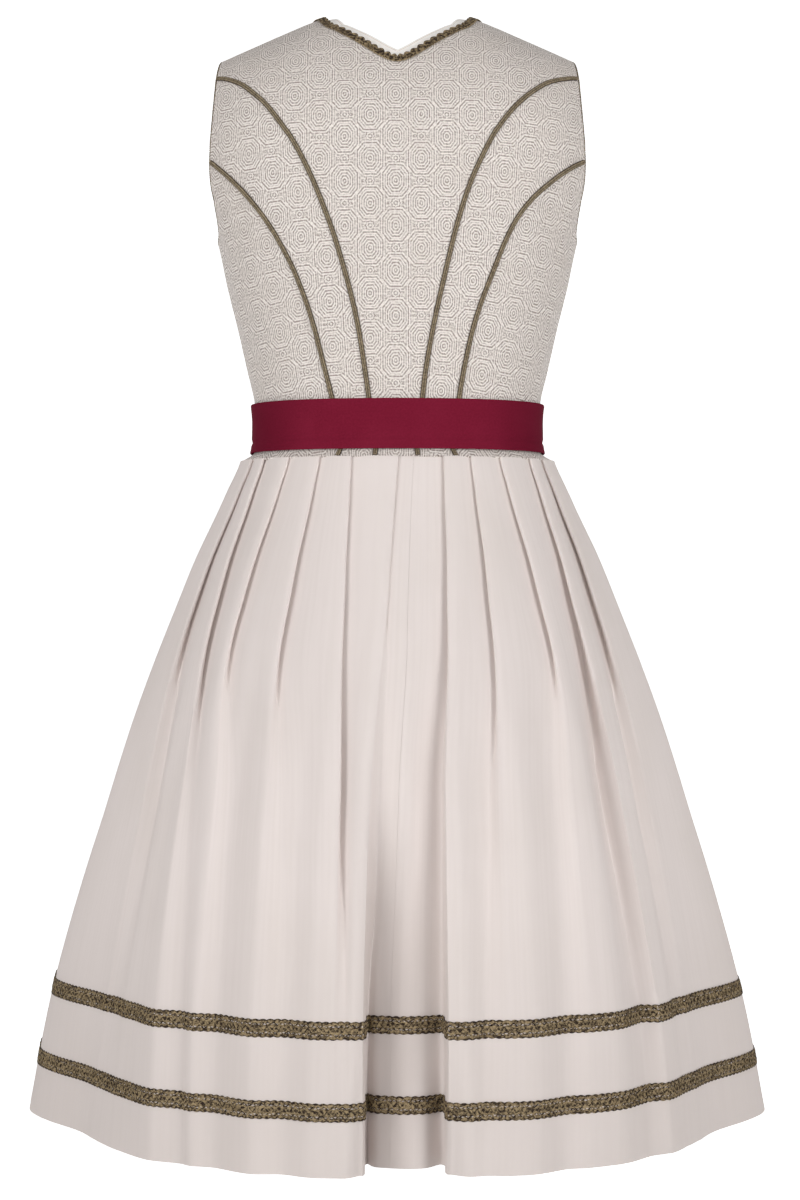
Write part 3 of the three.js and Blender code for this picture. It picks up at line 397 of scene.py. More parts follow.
torso = {
    "z": [-442, -438, -434, -420, -405, -385, -350, -310, -270, -230, -212, -190, -170, -150, -130],
    "half": [155.5, 148.5, 143, 140.8, 140.5, 142.5, 150.5, 159.5, 169.5, 178, 183, 190, 196, 199, 200],
    "back": [102.5, 98.5, 95, 93, 92.5, 93.5, 97, 101, 105, 107.5, 108, 108.5, 108.5, 108, 107],
    "front": [103.5, 99.5, 97, 95, 94.5, 95.5, 101, 108, 114, 118, 118, 117, 115, 112, 108],
    "power": 2.2,
}
torsoHalf = smoothTable(torso["z"], torso["half"])
back = {"sign": -1, "reach": smoothTable(torso["z"], torso["back"]),
        "domeStart": -130, "domeLength": 150, "domePower": 1.75, "middleShare": 0.62}
front = {"sign": 1, "reach": smoothTable(torso["z"], torso["front"]),
         "domeStart": -170, "domeLength": 190, "domePower": 1.6, "middleShare": 0.5}
shoulder = {"slope": 0.433, "from": 75, "softness": 6, "end": 173.5, "neckPoint": 84}
bust = {"x": 78, "z": -238, "wide": 48, "tall": 62, "out": 17, "fade": 2.2}
waistSeam, hem, underarm = -442, -1080, -229

def shoulderLine(x):
    climb = np.log1p(np.exp((np.abs(x) - shoulder["from"]) / shoulder["softness"]))
    return 1 - shoulder["slope"] * shoulder["softness"] * climb

def torsoPoint(side, turn, rise):
    turn, rise = np.broadcast_arrays(np.asarray(turn, float), np.asarray(rise, float))
    z = np.minimum(rise, side["domeStart"])
    sine, cosine = np.sin(np.radians(turn)), np.abs(np.cos(np.radians(turn)))
    x = torsoHalf(z) * signedPower(sine, 2 / torso["power"])
    reach = side["reach"](z) * cosine ** (2 / torso["power"])
    if side is front:
        reach = reach + swelling(bust, np.abs(x), z) * np.minimum(1, cosine * bust["fade"])
    share = np.clip((rise - side["domeStart"]) / side["domeLength"], 0, 1)
    arc = share * math.pi / 2
    climb = (shoulderLine(x) - side["domeStart"]) * np.sin(arc) ** (2 / side["domePower"])
    y = side["sign"] * reach * np.maximum(0, np.cos(arc)) ** (2 / side["domePower"])
    return np.stack([x, np.where(share < 1, y, 0), z + climb], -1)

def torsoPlace(side, x, z):
    x, z = np.asarray(x, float), np.asarray(z, float)
    level = np.minimum(z, side["domeStart"])
    share = np.clip(x / torsoHalf(level), -1, 1)
    turn = np.degrees(np.arcsin(signedPower(share, torso["power"] / 2)))
    climb = np.clip((z - side["domeStart"]) / (shoulderLine(x) - side["domeStart"]), 0, 1)
    arc = np.arcsin(climb ** (side["domePower"] / 2))
    rise = np.where(z <= side["domeStart"], z, side["domeStart"] + side["domeLength"] * arc * 2 / math.pi)
    return np.stack([turn, rise], -1)

def shoulderRise(side):
    return side["domeStart"] + side["domeLength"]

def torsoSlopes(side, places):
    step, lastTurn = 0.05, 89
    turn, rise = places[..., 0], places[..., 1]
    out = np.where(np.abs(turn) > lastTurn, -np.sign(turn) * step, step)
    up = np.where(rise > shoulderRise(side) - 1, -step, step)
    here = torsoPoint(side, turn, rise)
    byTurn = (torsoPoint(side, turn + out, rise) - here) / out[..., None]
    byRise = (torsoPoint(side, turn, rise + up) - here) / up[..., None]
    return byTurn, byRise

def unit(vectors):
    return vectors / np.maximum(np.linalg.norm(vectors, axis=-1, keepdims=True), 1e-9)

def torsoNormal(side, places):
    byTurn, byRise = torsoSlopes(side, places)
    return unit(-side["sign"] * np.cross(byTurn, byRise))

def onTorso(side, places, lift=0.0):
    points = torsoPoint(side, places[..., 0], places[..., 1])
    return points + torsoNormal(side, places) * np.asarray(lift)[..., None]

def pushedOut(side, places, distance):
    level = torsoNormal(side, places)
    level[..., 2] = 0
    return torsoPoint(side, places[..., 0], places[..., 1]) + unit(level) * distance

def beside(side, path, distance):
    along = np.concatenate([path[1:2] - path[:1], path[2:] - path[:-2], path[-1:] - path[-2:-1]])
    byTurn, byRise = torsoSlopes(side, path)
    e, f, g = (byTurn ** 2).sum(-1), (byTurn * byRise).sum(-1), (byRise ** 2).sum(-1)
    acrossTurn = -g * along[:, 1] - f * along[:, 0]
    acrossRise = f * along[:, 1] + e * along[:, 0]
    squares = e * acrossTurn ** 2 + 2 * f * acrossTurn * acrossRise + g * acrossRise ** 2
    scale = distance / np.sqrt(squares)
    return path + np.stack([acrossTurn * scale, acrossRise * scale], -1)

def edgePlaces(places, count):
    places = np.asarray(places, float)
    last = len(places) - 1
    t = np.linspace(0, last, 40 * last + 1)
    i = np.minimum(t.astype(int), last - 1)
    u = (t - i)[:, None]
    before, here = places[np.maximum(i - 1, 0)], places[i]
    after, beyond = places[i + 1], places[np.minimum(i + 2, last)]
    leave, arrive = (after - before) / 2, (beyond - here) / 2
    curve = ((2 * here - 2 * after + leave + arrive) * u ** 3
             + (3 * after - 3 * here - 2 * leave - arrive) * u ** 2 + leave * u + here)
    length = lengthsAlong(curve)
    at = np.linspace(0, length[-1], count + 1)
    return np.stack([np.interp(at, length, curve[:, 0]), np.interp(at, length, curve[:, 1])], -1)

# Seams and edges of the bodice: x at each height, left and right
seamTables = {
    "inner": {
        "z": [-442, -385, -355, -320, -280, -240, -205, -175, -150, -125, -100, -84, -72, -66],
        "left": [21.5, 27.4, 31.7, 37.2, 46.2, 57.6, 69.8, 82, 94, 109.5, 128, 144.5, 160, 178],
        "right": [19.5, 24, 27.8, 34, 42.6, 52, 61.5, 72, 83.5, 97.5, 117.5, 135.5, 155, 178],
    },
    "outer": {
        "z": [-442, -385, -355, -325, -295, -265, -235, -210, -190, -175, -160, -150],
        "left": [57.8, 63, 70.5, 78, 87, 98.5, 113.5, 129, 144.5, 158, 173, 183.8],
        "right": [56.5, 59.3, 64.5, 71, 80, 91.5, 103.5, 116.5, 132.5, 149, 167.5, 183.8],
    },
    "princess": {
        "z": [-442, -385, -330, -280, -240, -205, -175, -150],
        "left": [58, 63, 76, 87, 94, 108, 130, 157],
        "right": [58, 63, 76, 87, 94, 108, 130, 157],
    },
}
backArmhole = [(178, -66), (179.5, -90), (183, -130), (183.8, -150), (183.2, -170), (179.8, -190),
               (177, -210), (176.8, -222)]
frontArmhole = [(168, -66), (162, -95), (158, -125), (157, -150), (160, -178), (167, -203), (173.5, -220)]
backNeck = [(0, -61.7), (10, -59), (23, -51), (41, -37.5), (60, -24.5), (74, -14.5)]
frontNeck = [(0, -224), (18, -217), (40, -203), (64, -181), (82, -150), (90, -110), (91, -70), (88, -30)]
bodice = {"rows": 84, "middleColumns": 30, "sideColumns": 44, "centreColumns": 44, "thickness": 1.7,
          "seamGap": 0.3, "neckEdge": 6.5, "backTopRows": 16, "frontTopRows": 28, "cornerGap": 4}

def seamTop(side, table, hand, key):
    return torsoPlace(side, hand * table[key][-1], table["z"][-1])

def seamLine(side, table, hand, key, top, rows):
    if table is None:
        rises = np.linspace(waistSeam, top[1], rows)
        return np.stack([np.full(rows, hand * 90.0), rises], -1)
    places = torsoPlace(side, np.array(table[key]), np.array(table["z"]))
    turnAt = smoothTable(places[:, 1], places[:, 0])
    rises = np.linspace(waistSeam, top[1], rows)
    line = np.stack([hand * turnAt(rises), rises], -1)
    line[-1] = top
    return line

def armholeEdge(side, rows, hand, start, end, count):
    places = torsoPlace(side, np.array([hand * x for x, z in rows]), np.array([z for x, z in rows]))
    gap = bodice["cornerGap"]
    between = [p for p in places if end[1] + gap < p[1] < start[1] - gap]
    return edgePlaces([start, *between, end], count)

def shoulderPlace(side, x):
    place = torsoPlace(side, x, shoulderLine(x))
    return np.array([place[0], shoulderRise(side)])

hands = {}
for handName, hand in (("left", -1), ("right", 1)):
    shoulderBack = shoulderPlace(back, hand * shoulder["end"])
    shoulderFront = shoulderPlace(front, hand * shoulder["end"])
    inner = seamTop(back, seamTables["inner"], hand, handName)
    outer = seamTop(back, seamTables["outer"], hand, handName)
    princess = seamTop(front, seamTables["princess"], hand, handName)
    lowArm = np.array([hand * 90.0, underarm])
    rows = bodice["rows"]
    hands[handName] = {
        "hand": hand,
        "inner": seamLine(back, seamTables["inner"], hand, handName, inner, rows),
        "outer": seamLine(back, seamTables["outer"], hand, handName, outer, rows),
        "side": seamLine(back, None, hand, handName, lowArm, rows),
        "princess": seamLine(front, seamTables["princess"], hand, handName, princess, rows),
        "topBack": armholeEdge(back, backArmhole, hand, shoulderBack, inner, bodice["backTopRows"]),
        "middleBack": armholeEdge(back, backArmhole, hand, inner, outer, bodice["middleColumns"]),
        "sideBack": armholeEdge(back, backArmhole, hand, outer, lowArm, bodice["sideColumns"]),
        "topFront": armholeEdge(front, frontArmhole, hand, shoulderFront, princess, bodice["frontTopRows"]),
        "sideFront": armholeEdge(front, frontArmhole, hand, princess, lowArm, bodice["sideColumns"]),
    }

def neckPath(side, rows, count):
    places = torsoPlace(side, np.array([x for x, z in rows], float), np.array([z for x, z in rows], float))
    return edgePlaces([*places, shoulderPlace(side, shoulder["neckPoint"])], count)

neckSteps = {"back": 60, "front": 110}
backNeckPath = neckPath(back, backNeck, neckSteps["back"])
frontNeckPath = neckPath(front, frontNeck, neckSteps["front"])
mirror = np.array([-1.0, 1.0])
wholeBackNeck = np.concatenate([(backNeckPath * mirror)[::-1][:-1], backNeckPath])

def blended(left, right, bottom, top):
    v = np.linspace(0, 1, len(left))[:, None, None]
    u = np.linspace(0, 1, len(bottom))[None, :, None]
    ruled = (1 - u) * left[:, None] + u * right[:, None] + (1 - v) * bottom[None] + v * top[None]
    corners = ((1 - v) * ((1 - u) * bottom[0] + u * bottom[-1]) + v * ((1 - u) * top[0] + u * top[-1]))
    return ruled - corners

def straight(start, end, count):
    share = np.linspace(0, 1, count + 1)[:, None]
    return (1 - share) * start + share * end

def centreHalf(side, hand, neck, far):
    low = int(len(far) * side["middleShare"])
    middle = np.stack([np.zeros(low), np.linspace(waistSeam, neck[0, 1], low)], -1)
    along = edgePlaces(neck, len(far) - low)[1:]
    near = np.concatenate([middle, along * np.array([hand, 1.0])])
    share = np.linspace(0, 1, bodice["centreColumns"] + 1)[None, :, None]
    return (1 - share) * near[:, None] + share * far[:, None]

# The dome over the shoulders as cloth measures it, and how finely its arcs are summed up
clothDome = {"tall": 131, "deep": 107, "arcSteps": 60, "turnSteps": 25}

# Cloth coordinates: length round the bodice at this height, and length up it
def clothPlace(side, points):
    x, z = points[..., 0], points[..., 2]
    level = np.minimum(z, side["domeStart"])
    half, reach = torsoHalf(level), side["reach"](level)
    share = np.clip(np.abs(x) / half, 0, 1)
    steps = np.linspace(0, 1, clothDome["turnSteps"]).reshape((-1,) + (1,) * x.ndim)
    turns = steps * np.arcsin(share ** (torso["power"] / 2))
    xs, ys = half * np.sin(turns) ** (2 / torso["power"]), reach * np.cos(turns) ** (2 / torso["power"])
    around = np.sqrt(np.diff(xs, axis=0) ** 2 + np.diff(ys, axis=0) ** 2).sum(0) * np.sign(x)
    climb = np.clip((z - side["domeStart"]) / (shoulderLine(x) - side["domeStart"]), 0, 1)
    arcs = np.linspace(0, math.pi / 2, clothDome["arcSteps"])
    rises = clothDome["tall"] * np.sin(arcs) ** (2 / side["domePower"])
    ins = clothDome["deep"] * np.cos(arcs) ** (2 / side["domePower"])
    lengths = lengthsAlong(np.stack([rises, ins], -1))
    over = np.interp(climb * clothDome["tall"], rises, lengths)
    over = over * (shoulderLine(x) - side["domeStart"]) / clothDome["tall"]
    return np.stack([around, level + np.where(z > side["domeStart"], over, 0)], -1)

def turnedGrain(coordinates, angle, shift):
    a = math.radians(angle)
    u, v = coordinates[..., 0] + shift[0], coordinates[..., 1] + shift[1]
    return np.stack([u * math.cos(a) - v * math.sin(a), u * math.sin(a) + v * math.cos(a)], -1) * millimetre

# A mesh from grids of points, each with its cloth coordinates and whether it faces outward
def meshFromGrids(name, grids, material, closed=False):
    vertices, faces, corners = [], [], []
    offset = 0
    for points, coordinates, outward in grids:
        rows, columns = points.shape[:2]
        vertices.append(points.reshape(-1, 3) * millimetre)
        flat = coordinates.reshape(-1, 2)
        r, c = np.mgrid[0:rows - 1, 0:columns if closed else columns - 1]
        nextC = (c + 1) % columns
        quads = np.stack([r * columns + c, r * columns + nextC, (r + 1) * columns + nextC,
                          (r + 1) * columns + c], -1).reshape(-1, 4)
        if not outward:
            quads = quads[:, ::-1]
        faces.append(quads + offset)
        around = flat[quads]
        if closed:
            reach = np.ptp(flat[:, 0])
            lap = around[:, :, 0].max(1) - around[:, :, 0].min(1) > 0.5 * reach
            low = around[:, :, 0] < flat[:, 0].mean()
            around[..., 0] += np.where(lap[:, None] & low, reach * columns / (columns - 1), 0)
        corners.append(around.reshape(-1, 2))
        offset += rows * columns
    mesh = bpy.data.meshes.new(name)
    mesh.from_pydata(np.concatenate(vertices).tolist(), [], np.concatenate(faces).tolist())
    layer = mesh.uv_layers.new(name="cloth")
    layer.data.foreach_set("uv", np.concatenate(corners).astype(np.float32).ravel())
    mesh.materials.append(material)
    return mesh

def evaluatedMesh(piece):
    graph = bpy.context.evaluated_depsgraph_get()
    return bpy.data.meshes.new_from_object(piece.evaluated_get(graph), depsgraph=graph)

def turnOutward(mesh):
    work = bmesh.new()
    work.from_mesh(mesh)
    bmesh.ops.recalc_face_normals(work, faces=work.faces)
    work.to_mesh(mesh)
    work.free()

def linkMesh(name, mesh):
    piece = bpy.data.objects.new(name, mesh)
    bpy.context.scene.collection.objects.link(piece)
    return piece

# Millimetres that join points, how far even walls may thicken, and degrees that stay sharp
shell = {"weld": 0.02, "clamp": 1.2, "sharp": 58, "sharpThread": 65}

# Cloth in one piece: its grids are joined where they share points, and get a wall's thickness
def clothPiece(name, grids, material, thickness, closed=False):
    piece = linkMesh(name, meshFromGrids(name, grids, material, closed))
    weld = piece.modifiers.new("weld", "WELD")
    weld.merge_threshold = shell["weld"] * millimetre
    wallModifier = piece.modifiers.new("wall", "SOLIDIFY")
    wallModifier.thickness = thickness * millimetre
    wallModifier.offset = -1
    wallModifier.use_even_offset = True
    wallModifier.thickness_clamp = shell["clamp"]
    made = evaluatedMesh(piece)
    piece.modifiers.clear()
    piece.data = made
    made.shade_smooth()
    made.set_sharp_from_angle(angle=math.radians(shell["sharp"]))
    return piece

# The cloth that stands for a node: back_center becomes backCenterCloth
def clothName(node):
    first, *others = node.split("_")
    return first + "".join(word.capitalize() for word in others) + "Cloth"

def finishPiece(piece, nodes):
    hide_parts(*nodes)
    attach(piece, "root")

# A panel's edges draw back to leave the seam's gap, except in the column that is kept
def drawnIn(points, keep=None):
    gap = bodice["seamGap"] / 2
    made = points.copy()
    rows, columns = points.shape[:2]
    for column, inner in ((0, 1), (columns - 1, columns - 2)):
        if column == keep:
            continue
        made[:, column] += unit(points[:, inner] - points[:, column]) * gap
    for row, inner in ((0, 1), (rows - 1, rows - 2)):
        made[row] += unit(points[inner] - points[row]) * gap
    return made

# Slight hollows and drags in the bodice's cloth
bodiceDrags = [
    {"x": -95, "z": -395, "wide": 60, "tall": 7, "out": -0.9},
    {"x": 92, "z": -372, "wide": 55, "tall": 6, "out": -0.8},
    {"x": -128, "z": -350, "wide": 40, "tall": 8, "out": -0.8},
    {"x": 120, "z": -402, "wide": 45, "tall": 6, "out": -0.9},
    {"x": 150, "z": -200, "wide": 9, "tall": 38, "out": -1.2},
    {"x": -152, "z": -196, "wide": 9, "tall": 42, "out": -1.2},
]

def dragged(points, side, places):
    amount = np.zeros(points.shape[:2])
    if side is back:
        for drag in bodiceDrags:
            amount += swelling(drag, points[..., 0], points[..., 2])
    return points + torsoNormal(side, places) * amount[..., None]

def bodiceGrid(side, places, hand, angle, shift, keep=None):
    points = drawnIn(dragged(onTorso(side, places), side, places), keep)
    coordinates = turnedGrain(clothPlace(side, points), angle, shift)
    outward = (hand > 0) == (side is back)
    return points, coordinates, outward

def bodicePiece(name, grids):
    piece = clothPiece(clothName(name), grids, materials["brocade"], bodice["thickness"])
    finishPiece(piece, [name])

# How each panel's brocade is turned, in degrees, and shifted
grain = {"back_middle": (3.5, (9, 12)), "back_side": (8, (15, 4)), "front_side": (6, (5, 9)),
         "front_center": (0, (0, 6)), "back_center": (0, (1.6, 8.6))}

# Points of the back's halves this near the middle line, in millimetres, lie on it
middleReach = 0.5

def centreGrid(side, made, name, seam, shoulderEdge, keep=None):
    neck = beside(side, backNeckPath if side is back else frontNeckPath, bodice["neckEdge"])
    neck[0, 0], neck[-1, 1] = 0, shoulderRise(side)
    far = np.concatenate([made[seam], made[shoulderEdge][::-1][1:]])
    return bodiceGrid(side, centreHalf(side, made["hand"], neck, far), made["hand"], *grain[name], keep)

def makeBodice():
    grids = [centreGrid(back, made, "back_center", "inner", "topBack", keep=0) for made in hands.values()]
    # The halves share their middle line, which is not a seam
    for points, _, _ in grids:
        onMiddle = np.abs(points[:, :1, 0]) < middleReach
        points[:, 0] = np.where(onMiddle, points[:, 0] * np.array([0, 1, 1]), points[:, 0])
    bodicePiece("back_center", grids)
    for handName, made in hands.items():
        hand = made["hand"]
        for name, side, near, far, top in (
                ("back_middle", back, made["inner"], made["outer"], made["middleBack"]),
                ("back_side", back, made["outer"], made["side"], made["sideBack"]),
                ("front_side", front, made["princess"], made["side"], made["sideFront"])):
            bottom = straight(near[0], far[0], len(top) - 1)
            angle, shift = grain[name]
            places = blended(near, far, bottom, top)
            bodicePiece(f"{name}_{handName}", [bodiceGrid(side, places, hand, angle * hand, shift)])
        grid = centreGrid(front, made, "front_center", "princess", "topFront")
        bodicePiece(f"front_center_{handName}", [grid])

makeBodice()
print("bodice made")

# Threads and cords: every one follows a path of points that carry the cloth's directions

def threadTree():
    tree = bpy.data.node_groups.new("threadAlongPath", "GeometryNodeTree")
    face = tree.interface
    face.new_socket("Geometry", in_out="INPUT", socket_type="NodeSocketGeometry")
    for name, value in (("Centre", 0.0), ("Swing", 0.0), ("Lift", 0.0), ("Heave", 0.0), ("Pitch", 0.01),
                        ("Phase", 0.0), ("Scallop", 0.0), ("Thread", 0.0005)):
        face.new_socket(name, in_out="INPUT", socket_type="NodeSocketFloat").default_value = value
    face.new_socket("Sides", in_out="INPUT", socket_type="NodeSocketInt").default_value = 4
    face.new_socket("Material", in_out="INPUT", socket_type="NodeSocketMaterial")
    face.new_socket("Geometry", in_out="OUTPUT", socket_type="NodeSocketGeometry")
    nodes, links = tree.nodes, tree.links
    given, result = nodes.new("NodeGroupInput"), nodes.new("NodeGroupOutput")

    def attribute(name, kind):
        node = nodes.new("GeometryNodeInputNamedAttribute")
        node.data_type = kind
        node.inputs["Name"].default_value = name
        return node.outputs["Attribute"]

    def scaled(vector, amount):
        node = nodes.new("ShaderNodeVectorMath")
        node.operation = "SCALE"
        links.new(vector, node.inputs[0])
        links.new(amount, node.inputs["Scale"])
        return node.outputs[0]

    along, acrossCloth = attribute("along", "FLOAT"), attribute("across", "FLOAT_VECTOR")
    outOfCloth = attribute("outward", "FLOAT_VECTOR")
    turns = calculate(tree, "DIVIDE", along, given.outputs["Pitch"])
    angle = calculate(tree, "MULTIPLY_ADD", turns, 2 * math.pi, given.outputs["Phase"])
    swing = calculate(tree, "MULTIPLY", calculate(tree, "SINE", angle), given.outputs["Swing"])
    heave = calculate(tree, "MULTIPLY", calculate(tree, "COSINE", angle), given.outputs["Heave"])
    halfAngle = calculate(tree, "DIVIDE", angle, 2.0)
    bow = calculate(tree, "ABSOLUTE", calculate(tree, "SINE", halfAngle))
    scallop = calculate(tree, "MULTIPLY", bow, given.outputs["Scallop"])
    sideways = calculate(tree, "ADD", calculate(tree, "ADD", given.outputs["Centre"], swing), scallop)
    lift = calculate(tree, "ADD", given.outputs["Lift"], heave)
    toCurve = nodes.new("GeometryNodeMeshToCurve")
    links.new(given.outputs["Geometry"], toCurve.inputs["Mesh"])
    offset = nodes.new("ShaderNodeVectorMath")
    links.new(scaled(acrossCloth, sideways), offset.inputs[0])
    links.new(scaled(outOfCloth, lift), offset.inputs[1])
    move = nodes.new("GeometryNodeSetPosition")
    links.new(toCurve.outputs["Curve"], move.inputs["Geometry"])
    links.new(offset.outputs[0], move.inputs["Offset"])
    profile = nodes.new("GeometryNodeCurvePrimitiveCircle")
    links.new(given.outputs["Sides"], profile.inputs["Resolution"])
    links.new(given.outputs["Thread"], profile.inputs["Radius"])
    tube = nodes.new("GeometryNodeCurveToMesh")
    tube.inputs["Fill Caps"].default_value = True
    links.new(move.outputs["Geometry"], tube.inputs["Curve"])
    links.new(profile.outputs["Curve"], tube.inputs["Profile Curve"])
    real = nodes.new("GeometryNodeRealizeInstances")
    links.new(tube.outputs["Mesh"], real.inputs["Geometry"])
    paint = nodes.new("GeometryNodeSetMaterial")
    links.new(real.outputs["Geometry"], paint.inputs["Geometry"])
    links.new(given.outputs["Material"], paint.inputs["Material"])
    links.new(paint.outputs["Geometry"], result.inputs["Geometry"])
    return tree

threads = threadTree()

# Each row of a path is a point, the direction across the cloth there, and the one out of it
def pathMesh(path, closed):
    points, count = path[:, :3], len(path)
    along = lengthsAlong(np.concatenate([points, points[:1]]))
    edges = [(i, (i + 1) % count) for i in range(count if closed else count - 1)]
    mesh = bpy.data.meshes.new("path")
    mesh.from_pydata((points * millimetre).tolist(), edges, [])
    mesh.attributes.new("along", "FLOAT", "POINT").data.foreach_set("value", along[:-1] * millimetre)
    for key, vectors in (("across", path[:, 3:6]), ("outward", path[:, 6:])):
        attribute = mesh.attributes.new(key, "FLOAT_VECTOR", "POINT")
        attribute.data.foreach_set("vector", np.ascontiguousarray(vectors, dtype=np.float32).ravel())
    return mesh, (along[-1] if closed else along[-2])

def strandMesh(path, strand, pitches, material):
    piece = linkMesh("strand", path)
    modifier = piece.modifiers.new("threads", "NODES")
    modifier.node_group = threads
    values = {"Material": material, "Sides": strand.get("Sides", 3), "Phase": strand.get("Phase", 0.0),
              "Pitch": pitches[strand.get("Pitch", "scallop")] * millimetre}
    for item in threads.interface.items_tree:
        if item.in_out == "INPUT" and item.name != "Geometry":
            size = strand.get(item.name, 0.0)
            modifier[item.identifier] = values[item.name] if item.name in values else size * millimetre
    made = evaluatedMesh(piece)
    bpy.data.objects.remove(piece)
    return made

# A flat braid along a path, between two distances across the cloth; rise shapes its outer edge
def flatBraid(path, braid, closed, rise=0.0):
    points, across, outward = path[:, :3], path[:, 3:6], path[:, 6:]
    edges = (braid["low"], braid["high"] + rise)
    low, high = (np.broadcast_to(edge, len(path))[:, None] for edge in edges)
    base, crown = braid["lift"], braid["lift"] + braid["thickness"]
    corners = [points + across * edge + outward * height
               for edge, height in ((low, base), (high, base), (high, crown), (low, crown))]
    count = len(path)
    faces = []
    for i in range(count if closed else count - 1):
        here, after = 4 * i, 4 * ((i + 1) % count)
        faces += [(here + k, here + (k + 1) % 4, after + (k + 1) % 4, after + k) for k in range(4)]
    if not closed:
        last = 4 * (count - 1)
        faces += [(3, 2, 1, 0), (last, last + 1, last + 2, last + 3)]
    return np.stack(corners, 1).reshape(-1, 3) * millimetre, faces, braid["tone"]

# Strands and braids as one mesh; tone is how light each one's thread is
def threadPiece(name, path, pitches, strands, material, braids=()):
    vertices, faces, tones, offset = [], [], [], 0
    parts = []
    for strand in strands:
        made = strandMesh(path, strand, pitches, material)
        places = np.zeros(len(made.vertices) * 3, np.float32)
        made.vertices.foreach_get("co", places)
        corners = [tuple(face.vertices) for face in made.polygons]
        parts.append((places.reshape(-1, 3), corners, strand["tone"]))
        bpy.data.meshes.remove(made)
    for places, corners, tone in [*parts, *braids]:
        vertices.append(places)
        faces += [tuple(corner + offset for corner in face) for face in corners]
        tones += [tone] * len(places)
        offset += len(places)
    joined = bpy.data.meshes.new(name)
    joined.from_pydata(np.concatenate(vertices).tolist(), [], faces)
    joined.uv_layers.new(name="cloth")
    joined.attributes.new("tone", "FLOAT", "POINT").data.foreach_set("value", tones)
    joined.materials.append(material)
    piece = linkMesh(name, joined)
    turnOutward(joined)
    joined.shade_smooth()
    joined.set_sharp_from_angle(angle=math.radians(shell["sharpThread"]))
    return piece

def resampled(points, spacing, closed):
    ring = np.concatenate([points, points[:1]]) if closed else points
    length = lengthsAlong(ring[:, :3])
    count = max(int(round(length[-1] / spacing)), 3)
    at = np.linspace(0, length[-1], count + 1)
    made = np.stack([np.interp(at, length, ring[:, k]) for k in range(ring.shape[1])], -1)
    return made[:-1] if closed else made

def pathOnTorso(side, places):
    points = onTorso(side, places)
    across = onTorso(side, beside(side, places, 1.0)) - points
    return np.concatenate([points, across, torsoNormal(side, places)], 1)

# The pitch nearest to the wanted one that fits the length a whole number of times
def wholePitch(length, wanted):
    return length / max(round(length / wanted), 1)

piping = {"spacing": 1.1, "apart": 1.0, "ply": 0.42, "thread": 0.62, "twist": 3.4, "lift": 1.25,
          "seamStep": 3, "steps": 260, "footStep": 3}
twistedPair = [
    {"Centre": side * piping["apart"], "Swing": piping["ply"], "Heave": piping["ply"],
     "Lift": piping["lift"], "Pitch": "twist", "Phase": phase, "Thread": piping["thread"],
     "Sides": 6, "tone": tone}
    for side in (-1, 1) for phase, tone in ((0.0, 0.72), (math.pi, 0.58))
]
pipingFoot = {"low": -2.4, "high": 2.4, "lift": 0.3, "thickness": 0.7, "tone": 0.0}

def makeSeamPiping():
    for handName, made in hands.items():
        for seamName in ("inner", "outer"):
            seam = made[seamName]
            guides = np.concatenate([seam[:-1:piping["seamStep"]], seam[-1:]])
            line = edgePlaces(guides, piping["steps"])
            path = resampled(pathOnTorso(back, line), piping["spacing"], False)[1:-1]
            mesh, length = pathMesh(path, closed=False)
            node = f"piping_{seamName}_{handName}"
            pitches = {"twist": wholePitch(length, piping["twist"])}
            foot = flatBraid(path[::piping["footStep"]], pipingFoot, closed=False)
            piece = threadPiece(clothName(node), mesh, pitches, twistedPair, materials["braid"], [foot])
            finishPiece(piece, [node])

# The armhole's cord stands this far off the cloth's edge, and its middle this far inside its face
armCord = {"radius": 1.3, "spacing": 1.2, "ply": 0.5, "thread": 0.72, "twist": 4.0, "gap": 0.15,
           "sink": 1.0}

def makeArmholePiping():
    for handName, made in hands.items():
        hand = made["hand"]
        behind = np.concatenate([made["topBack"], made["middleBack"][1:], made["sideBack"][1:]])
        before = np.concatenate([made["topFront"], made["sideFront"][1:]])
        rows = []
        for side, places in ((back, behind), (front, before)):
            second, previous = places[1], places[-2]
            over = np.array([[second[0], 2 * places[0, 1] - second[1]]])
            under = np.array([[2 * places[-1, 0] - previous[0], previous[1]]])
            guided = np.concatenate([over, places, under])
            apart = armCord["gap"] + armCord["radius"]
            middle = beside(side, guided, hand * apart)[1:-1]
            normals = torsoNormal(side, beside(side, guided, 0.0)[1:-1])
            points = torsoPoint(side, middle[:, 0], middle[:, 1]) - normals * armCord["sink"]
            outer = torsoPoint(side, *beside(side, guided, hand * (apart + 1))[1:-1].T)
            rows.append(np.concatenate([points, unit(outer - points - normals), normals], 1))
        ring = resampled(np.concatenate([rows[0], rows[1][::-1][1:-1]]), armCord["spacing"], True)
        ring[:, 6:] = unit(ring[:, 6:])
        mesh, length = pathMesh(ring, closed=True)
        pitches = {"twist": wholePitch(length, armCord["twist"])}
        strands = [{"Swing": armCord["ply"], "Heave": armCord["ply"], "Pitch": "twist", "Phase": phase,
                    "Thread": armCord["thread"], "Sides": 6, "tone": tone}
                   for phase, tone in ((0.0, 0.5), (math.pi, 0.35))]
        node = f"armhole_piping_{handName}"
        piece = threadPiece(clothName(node), mesh, pitches, strands, materials["braid"])
        finishPiece(piece, [node])

makeSeamPiping()
makeArmholePiping()
print("piping made")

# Neck lace: a flat braided foot along its lower edge, and scallops along its upper edge
neckLaceSize = {"lift": 1.3, "spacing": 1.0, "scallop": 9.0, "net": 5.2, "small": 4.1}
neckLaceFoot = {"low": 0.5, "high": 4.9, "lift": 0.9, "thickness": 0.6, "tone": 0.25}
neckLaceCrown = {"low": 4.5, "high": 6.6, "rise": 1.9, "lift": 0.9, "thickness": 0.5, "tone": 0.1}
